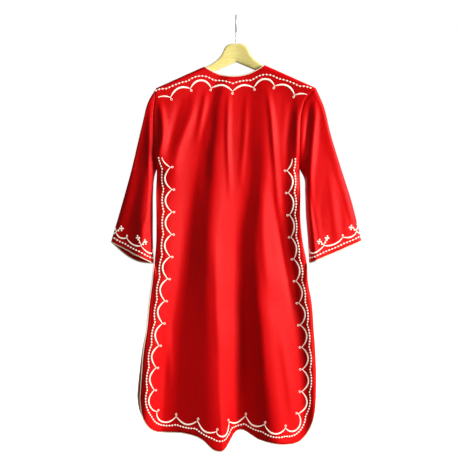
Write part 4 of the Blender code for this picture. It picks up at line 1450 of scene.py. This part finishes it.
@dataclass
class Dress:
    """Cloth, piping and embroidery of the dress."""

    workbox: Workbox
    side_border: Border = Border(41 * MM, 17 * MM)
    yoke_border: Border = Border(41 * MM, 14 * MM, wide=5.6 * MM, dots_close=0.5, dot_pitch=8.9 * MM)
    cuff_border: Border = Border(
        28 * MM, 8 * MM, wide=4.2 * MM, picot=3.0 * MM, dots_inset=10.5 * MM, dots_wave=1.0 * MM,
        dot_pitch=8.4 * MM, round_cuff=True)
    scallop_pitch: float = 58 * MM
    cuff_scallops: int = 6
    corner_ease: float = 18 * MM
    yoke_ease: float = 22 * MM
    guide_ease: float = 10 * MM
    yoke_ends: tuple = (12 * MM, 30 * MM)
    piping_step: float = 2.4 * MM
    wobble: tuple = (0.05, 0.9, 0.23)

    def stitched(self, name: str, cloth: FlatCloth, guide: Guide, node: str) -> bpy.types.Object:
        """Embroidery of one border as a piece of its own.

        Args:
            name: name of the piece.
            cloth: the cloth that it is sewn on.
            guide: the line through its cusps.
            node: name of the solid that it stands for.
        Returns:
            The object.
        """
        stitches = Embroidery(cloth)
        stitches.border(guide)
        return self.workbox.dress(stitches.sewing.object(name), Finish.THREAD, node)

    def piping(self, name: str, path: Array, up: Array, closed: bool, node: str) -> bpy.types.Object:
        """Folded strip of cream cloth along a path, slightly uneven as sewn by hand.

        Args:
            name: name of the piece.
            path: points of its centre line.
            up: unit vectors away from the cloth.
            closed: whether it is a ring.
            node: name of the solid that it stands for.
        Returns:
            The object.
        """
        if closed:
            path, up = np.concatenate([path, path[:1]]), np.concatenate([up, up[:1]])
        count = int(line_length(path) / self.piping_step)
        joined = resample(np.concatenate([path, up], axis=1), count)
        uneven, quick, slow = self.wobble
        swell = 1.0 + uneven * np.sin(np.arange(count) * quick) * np.sin(np.arange(count) * slow)
        rings = round_rings(joined[:, :3], unit(joined[:, 3:]), PIPING_OUT * swell, PIPING_THICK * swell, 10)
        sewing = Sewing()
        sewing.tube(rings[:-1] if closed else rings, closed)
        return self.workbox.dress(sewing.object(name), Finish.PIPING, node)

    def guide(self, border: Border, line: Array, turn: int, shift: Array | float = 0.0) -> Guide:
        """Guide along a flat line, with scallops of the usual pitch."""
        return Guide(border, line, turn, round(line_length(line) / self.scallop_pitch), shift)

    def shift(self, panel: Panel, line: Array) -> Array:
        """How much nearer its edge a panel's border runs, at the points of a flat line."""
        shifted = (line[:, 0] > 0) & (panel.side < 0)
        return np.where(shifted, BORDER_SHIFT.read(-line[:, 1], "right"), 0.0)

    def side_guide(self, panel: Panel, flat: Array) -> Guide:
        """Guide of the border down one side, round the hem and up the other side.

        Args:
            panel: the back or the front.
            flat: flat places of its grid.
        Returns:
            The guide.
        """
        down = panel.shares()[1] * (TIP_Z - CORNER_Z)
        start = int(np.searchsorted(down, panel.border_start))
        outline = np.concatenate([flat[start:, 0], flat[-1, 1:], flat[-2:start - 1:-1, -1]])
        outline = smoothed(outline, self.corner_ease)
        inset = self.side_border.inset - self.shift(panel, outline)
        line = smoothed(outline - outward_of(outline, 1) * inset[:, None], self.guide_ease)
        return self.guide(self.side_border, line, 1, self.shift(panel, line))

    def yoke_guide(self, flat: Array) -> Guide:
        """Guide of the border along a panel's top edge.

        Args:
            flat: flat places of its grid.
        Returns:
            The guide.
        """
        top = smoothed(flat[0], self.yoke_ease)
        line = top - outward_of(top, -1) * self.yoke_border.inset
        start, end = flat[0, 0, 0] + self.yoke_ends[0], flat[0, -1, 0] - self.yoke_ends[1]
        line = smoothed(line[(line[:, 0] > start) & (line[:, 0] < end)], self.guide_ease)
        return self.guide(self.yoke_border, line, -1)

    def panel(self, panel: Panel, flat_size: tuple, area: float) -> tuple[Array, Array]:
        """Cloth, embroidery and hem piping of one panel.

        Args:
            panel: the back or the front.
            flat_size: width and length that it was cut from; not used.
            area: area of its cut; not used.
        Returns:
            The points of its outer face, and their normals.
        """
        name = panel.name
        points = panel.points()
        flat = panel.flat(points)
        normals = grid_normals(points, -panel.side)
        cloth = cloth_piece(f"{name}_cloth", points, flat, False, panel.side > 0)
        self.workbox.dress(cloth, Finish.CLOTH, f"{name}_panel")
        face = FlatCloth(points, flat, normals)
        guide = self.side_guide(panel, flat)
        sides = self.stitched(f"{name}_border", face, guide, f"scallops_{name}")
        guide = self.yoke_guide(flat)
        yoke = self.stitched(f"{name}_yoke_border", face, guide, f"scallops_yoke_{name}")
        edge = self.hem_piping(panel, points, normals)
        return points, normals

    def hem_piping(self, panel: Panel, points: Array, normals: Array) -> bpy.types.Object:
        """Piping of one panel from the top of one slit round the hem to the other.

        Args:
            panel: the back or the front.
            points: points of its outer face.
            normals: normals at these points.
        Returns:
            The object.
        """
        down = lerp(TIP_Z, CORNER_Z, panel.shares()[1])
        last_row, last_column = points.shape[0] - 1, points.shape[1] - 1
        side = np.arange(int(np.argmax(down < SLIT_Z - PIPING_STARTS)), last_row)
        rows = np.concatenate([side, np.full(last_column + 1, last_row), side[::-1]])
        columns = np.concatenate([0 * side, np.arange(last_column + 1), 0 * side + last_column])
        inside = points[np.minimum(rows, last_row - 1), np.clip(columns, 1, last_column - 1)]
        up = normals[rows, columns]
        path = beside_edge(points[rows, columns], inside, up)
        return self.piping(f"{panel.name}_hem_piping", path, up, False, f"hem_piping_{panel.name}")

    def neck_piping(self, back: tuple[Array, Array], front: tuple[Array, Array]) -> None:
        """Piping round both necklines.

        Args:
            back: points and normals of the back.
            front: points and normals of the front.
        """
        lines = []
        for (points, normals), kept in ((back, slice(2, -2)), (front, slice(-3, 1, -1))):
            x = points[0, :, 0]
            inside = (x >= NECK_LEFT) & (x <= NECK_RIGHT)
            up = normals[0, inside]
            lines.append((beside_edge(points[0, inside], points[1, inside], up)[kept], up[kept]))
        path, up = (np.concatenate(parts) for parts in zip(*lines))
        self.piping("neckline_piping", path, up, True, "neck_piping")

    def sleeve(self, sleeve: Sleeve, flat_size: tuple, area: float) -> None:
        """Cloth, piping and embroidery of one sleeve.

        Args:
            sleeve: the left or the right sleeve.
            flat_size: width and length that it was cut from; not used.
            area: area of its cut; not used.
        """
        name = sleeve.name
        points = sleeve.points()
        flat = sleeve.flat(points)
        closed = np.concatenate([points, points[:, :1]], axis=1)
        normals = grid_normals(np.concatenate([points[:, -1:], closed], axis=1), -sleeve.side)[:, 1:]
        normals[:, -1] = normals[:, 0]
        cloth = cloth_piece(f"{name}_sleeve_cloth", points, flat, True, sleeve.side > 0)
        self.workbox.dress(cloth, Finish.CLOTH, f"sleeve_{name}")
        up = normals[-1, :-1]
        path = beside_edge(points[-1], points[-2], up)
        piping = self.piping(f"{name}_cuff_piping", path, up, True, f"cuff_piping_{name}")
        around = flat[-1, -1, 0] * CUFF_SPACING.read(np.linspace(0.0, 1.0, 240), "around")
        line = np.stack([around, np.full(len(around), self.cuff_border.inset)], axis=1)
        guide = Guide(self.cuff_border, line, -1, self.cuff_scallops)
        face = FlatCloth(closed, flat, normals)
        stitches = self.stitched(f"{name}_cuff_border", face, guide, f"scallops_cuff_{name}")

    def build(self) -> None:
        """Make every piece of the dress."""
        back = self.panel(BACK, (0.68, 0.98), 0.41)
        front = self.panel(FRONT, (0.68, 0.98), 0.41)
        self.neck_piping(back, front)
        self.sleeve(LEFT_SLEEVE, (0.43, 0.41), 0.068)
        self.sleeve(RIGHT_SLEEVE, (0.46, 0.41), 0.10)


@dataclass
class Hanger:
    """Contoured wooden bar and wire hook."""

    workbox: Workbox
    half_span: float = 0.192
    half_thick: float = 5.0 * MM
    rounding: float = 4.8 * MM
    under_z: float = -0.1214
    under_slope: float = 0.44
    cloth_over: float = 1.65 * MM
    hook_radius: float = 1.8 * MM
    hook_inside: float = 19 * MM
    shank_top: float = -0.048
    shank_end: float = -0.0935

    def top(self, x: Array) -> Array:
        """Height of the bar's top edge.

        Args:
            x: places across.
        Returns:
            Its heights.
        """
        rise = Table(
            "x z",
            (0.0, -0.0735),
            (0.012, -0.0738),
            (0.02, -0.0765),
            (0.03, -0.0855),
            (0.0353, -0.098),
            (0.043, -0.1095),
            (0.053, -0.119),
            (0.0637, -0.1272),
            (0.0722, -0.1318),
        )
        under_cloth = roof(x) - self.cloth_over / math.cos(math.atan(ROOF_SLOPE))
        return np.where(np.abs(x) < rise.keys[-1], rise.read(np.abs(x), "z"), under_cloth)

    def bar(self) -> None:
        """Wooden bar, lofted from end to end."""
        inner = np.linspace(-0.99, 0.99, 150) * self.half_span
        ends = self.half_span * (1.0 - 0.01 * (1.0 - np.linspace(0.0, 1.0, 8)[1:] ** 0.5))
        x = np.concatenate([-ends[::-1], inner, ends])
        top, bottom = self.top(x), self.under_z - self.under_slope * np.abs(x)
        end = np.clip((self.half_span - np.abs(x)) / self.rounding, 0.0, 1.0)
        shrink = np.sqrt(1.0 - (1.0 - end) ** 2)
        half_high = (top - bottom) / 2 - self.rounding * (1.0 - shrink)
        half_thick = lerp(0.4 * MM, self.half_thick, shrink)
        angles = -math.pi / 2 + 2.0 * math.pi * np.arange(28) / 28
        square = 1.0 / np.maximum(np.abs(np.cos(angles)) ** 5 + np.abs(np.sin(angles)) ** 5, 1e-9) ** 0.2
        y = middle(x, TIP_Z)[:, None] + half_thick[:, None] * np.cos(angles) * square
        z = ((top + bottom) / 2)[:, None] + half_high[:, None] * np.sin(angles) * square
        rings = np.stack([np.broadcast_to(x[:, None], y.shape), y, z], axis=2)
        sewing = Sewing()
        sewing.tube(rings)
        self.workbox.dress(sewing.object("hanger_arms"), Finish.WOOD, "hanger_bar")

    def hook(self) -> None:
        """Wire hook from its rounded tip, over its turn and down into the bar."""
        turn = self.hook_inside + self.hook_radius
        angles = np.radians(np.linspace(-20.0, 235.0, 60))
        curve = turn * np.stack([0.0 * angles, np.cos(angles), np.sin(angles)], axis=1)
        curve[:, 2] -= self.hook_inside
        start, end = curve[-1], np.array((0.0, 0.0, self.shank_top))
        reach = np.linalg.norm(start - end) / 2
        leave = start + np.array((0.0, -math.sin(angles[-1]), math.cos(angles[-1]))) * reach
        arrive = end + np.array((0.0, 0.0, reach))
        share = np.linspace(0.0, 1.0, 24)[1:, None]
        bend = start * (1 - share) ** 3 + leave * 3 * share * (1 - share) ** 2
        bend = bend + arrive * 3 * share ** 2 * (1 - share) + end * share ** 3
        shank = np.linspace(end, (0.0, 0.0, self.shank_end), 14)[1:]
        path = np.concatenate([curve, bend, shank])
        size = np.full(len(path), self.hook_radius)
        size[:5] *= np.sqrt(1.0 - (1.0 - np.linspace(0.12, 1.0, 5)) ** 2)
        sewing = Sewing()
        sewing.tube(round_rings(path, np.tile((1.0, 0.0, 0.0), (len(path), 1)), size, size, 20))
        self.workbox.dress(sewing.object("hook_wire"), Finish.WIRE, "hanger_hook")

    def build(self) -> None:
        """Make both pieces."""
        self.bar()
        self.hook()


@dataclass
class Studio:
    """Floor, soft lights and camera, in the photograph's frame."""

    centre: tuple = (-0.0156, -0.02, -0.5603)
    frame_width: float = 1.196
    distance: float = 3.4
    floor_z: float = -1.165
    floor_half: float = 5.0
    world_light: float = 0.17

    def floor(self) -> None:
        """Pale floor just under the hem."""
        half = self.floor_half
        mesh = bpy.data.meshes.new("floor")
        corners = ((-half, -half, 0.0), (half, -half, 0.0), (half, half, 0.0), (-half, half, 0.0))
        mesh.from_pydata(corners, [], [(0, 1, 2, 3)])
        mesh.materials.append(Graph("pale floor").finish(
            Base_Color=(0.85, 0.85, 0.85, 1.0), Roughness=0.8, Specular_IOR_Level=0.2,
            Emission_Color=(1.0, 1.0, 1.0, 1.0), Emission_Strength=0.86))
        floor = new_object("floor", mesh)
        floor.location.z = self.floor_z
        floor.visible_diffuse = floor.visible_glossy = False

    def light(self, name: str, place: tuple, size: float, watts: float, color: tuple) -> None:
        """Square soft light that faces the middle of the dress.

        Args:
            name: name of the light.
            place: where it stands.
            size: length of its sides.
            watts: its power.
            color: its colour.
        """
        data = bpy.data.lights.new(name, "AREA")
        data.shape = "SQUARE"
        data.size, data.energy, data.color = size, watts, color
        lamp = new_object(name, data)
        lamp.location = place
        toward = Vector(self.centre) - Vector(place)
        lamp.rotation_euler = toward.to_track_quat("-Z", "Y").to_euler()

    def world(self) -> None:
        """White surroundings: bright to look at, soft as a light."""
        world = bpy.data.worlds.new("studio")
        world.use_nodes = True
        tree = world.node_tree
        background = tree.nodes["Background"]
        background.inputs["Color"].default_value = (1.0, 1.0, 1.0, 1.0)
        path = tree.nodes.new("ShaderNodeLightPath")
        strength = tree.nodes.new("ShaderNodeMapRange")
        strength.inputs["To Min"].default_value = self.world_light
        strength.inputs["To Max"].default_value = 1.0
        tree.links.new(path.outputs["Is Camera Ray"], strength.inputs["Value"])
        tree.links.new(strength.outputs["Result"], background.inputs["Strength"])
        bpy.context.scene.world = world

    def camera(self) -> None:
        """Level camera straight in front of the dress's back."""
        data = bpy.data.cameras.new("camera")
        data.lens = data.sensor_width * self.distance / self.frame_width
        camera = new_object("camera", data)
        camera.location = Vector(self.centre) - Vector((0.0, self.distance, 0.0))
        camera.rotation_euler = (math.pi / 2, 0.0, 0.0)
        bpy.context.scene.camera = camera

    def build(self) -> None:
        """Set the stage."""
        self.floor()
        self.world()
        self.camera()
        self.light("key", (3.0, -1.2, 0.25), 1.1, 228.0, (1.0, 0.98, 0.96))
        self.light("fill", (-2.4, -2.2, 0.2), 2.2, 3.0, (0.95, 0.97, 1.0))
        self.light("behind", (-0.6, 2.6, 0.6), 1.8, 40.0, (1.0, 1.0, 1.0))
        bpy.context.scene.view_settings.view_transform = "Standard"


def main() -> None:
    """Build the dress, its hanger and the studio."""
    logging.basicConfig(level=logging.INFO, format="%(message)s")
    workbox = Workbox()
    Hanger(workbox).build()
    Dress(workbox).build()
    Studio().build()


if __name__ == "__main__":
    main()
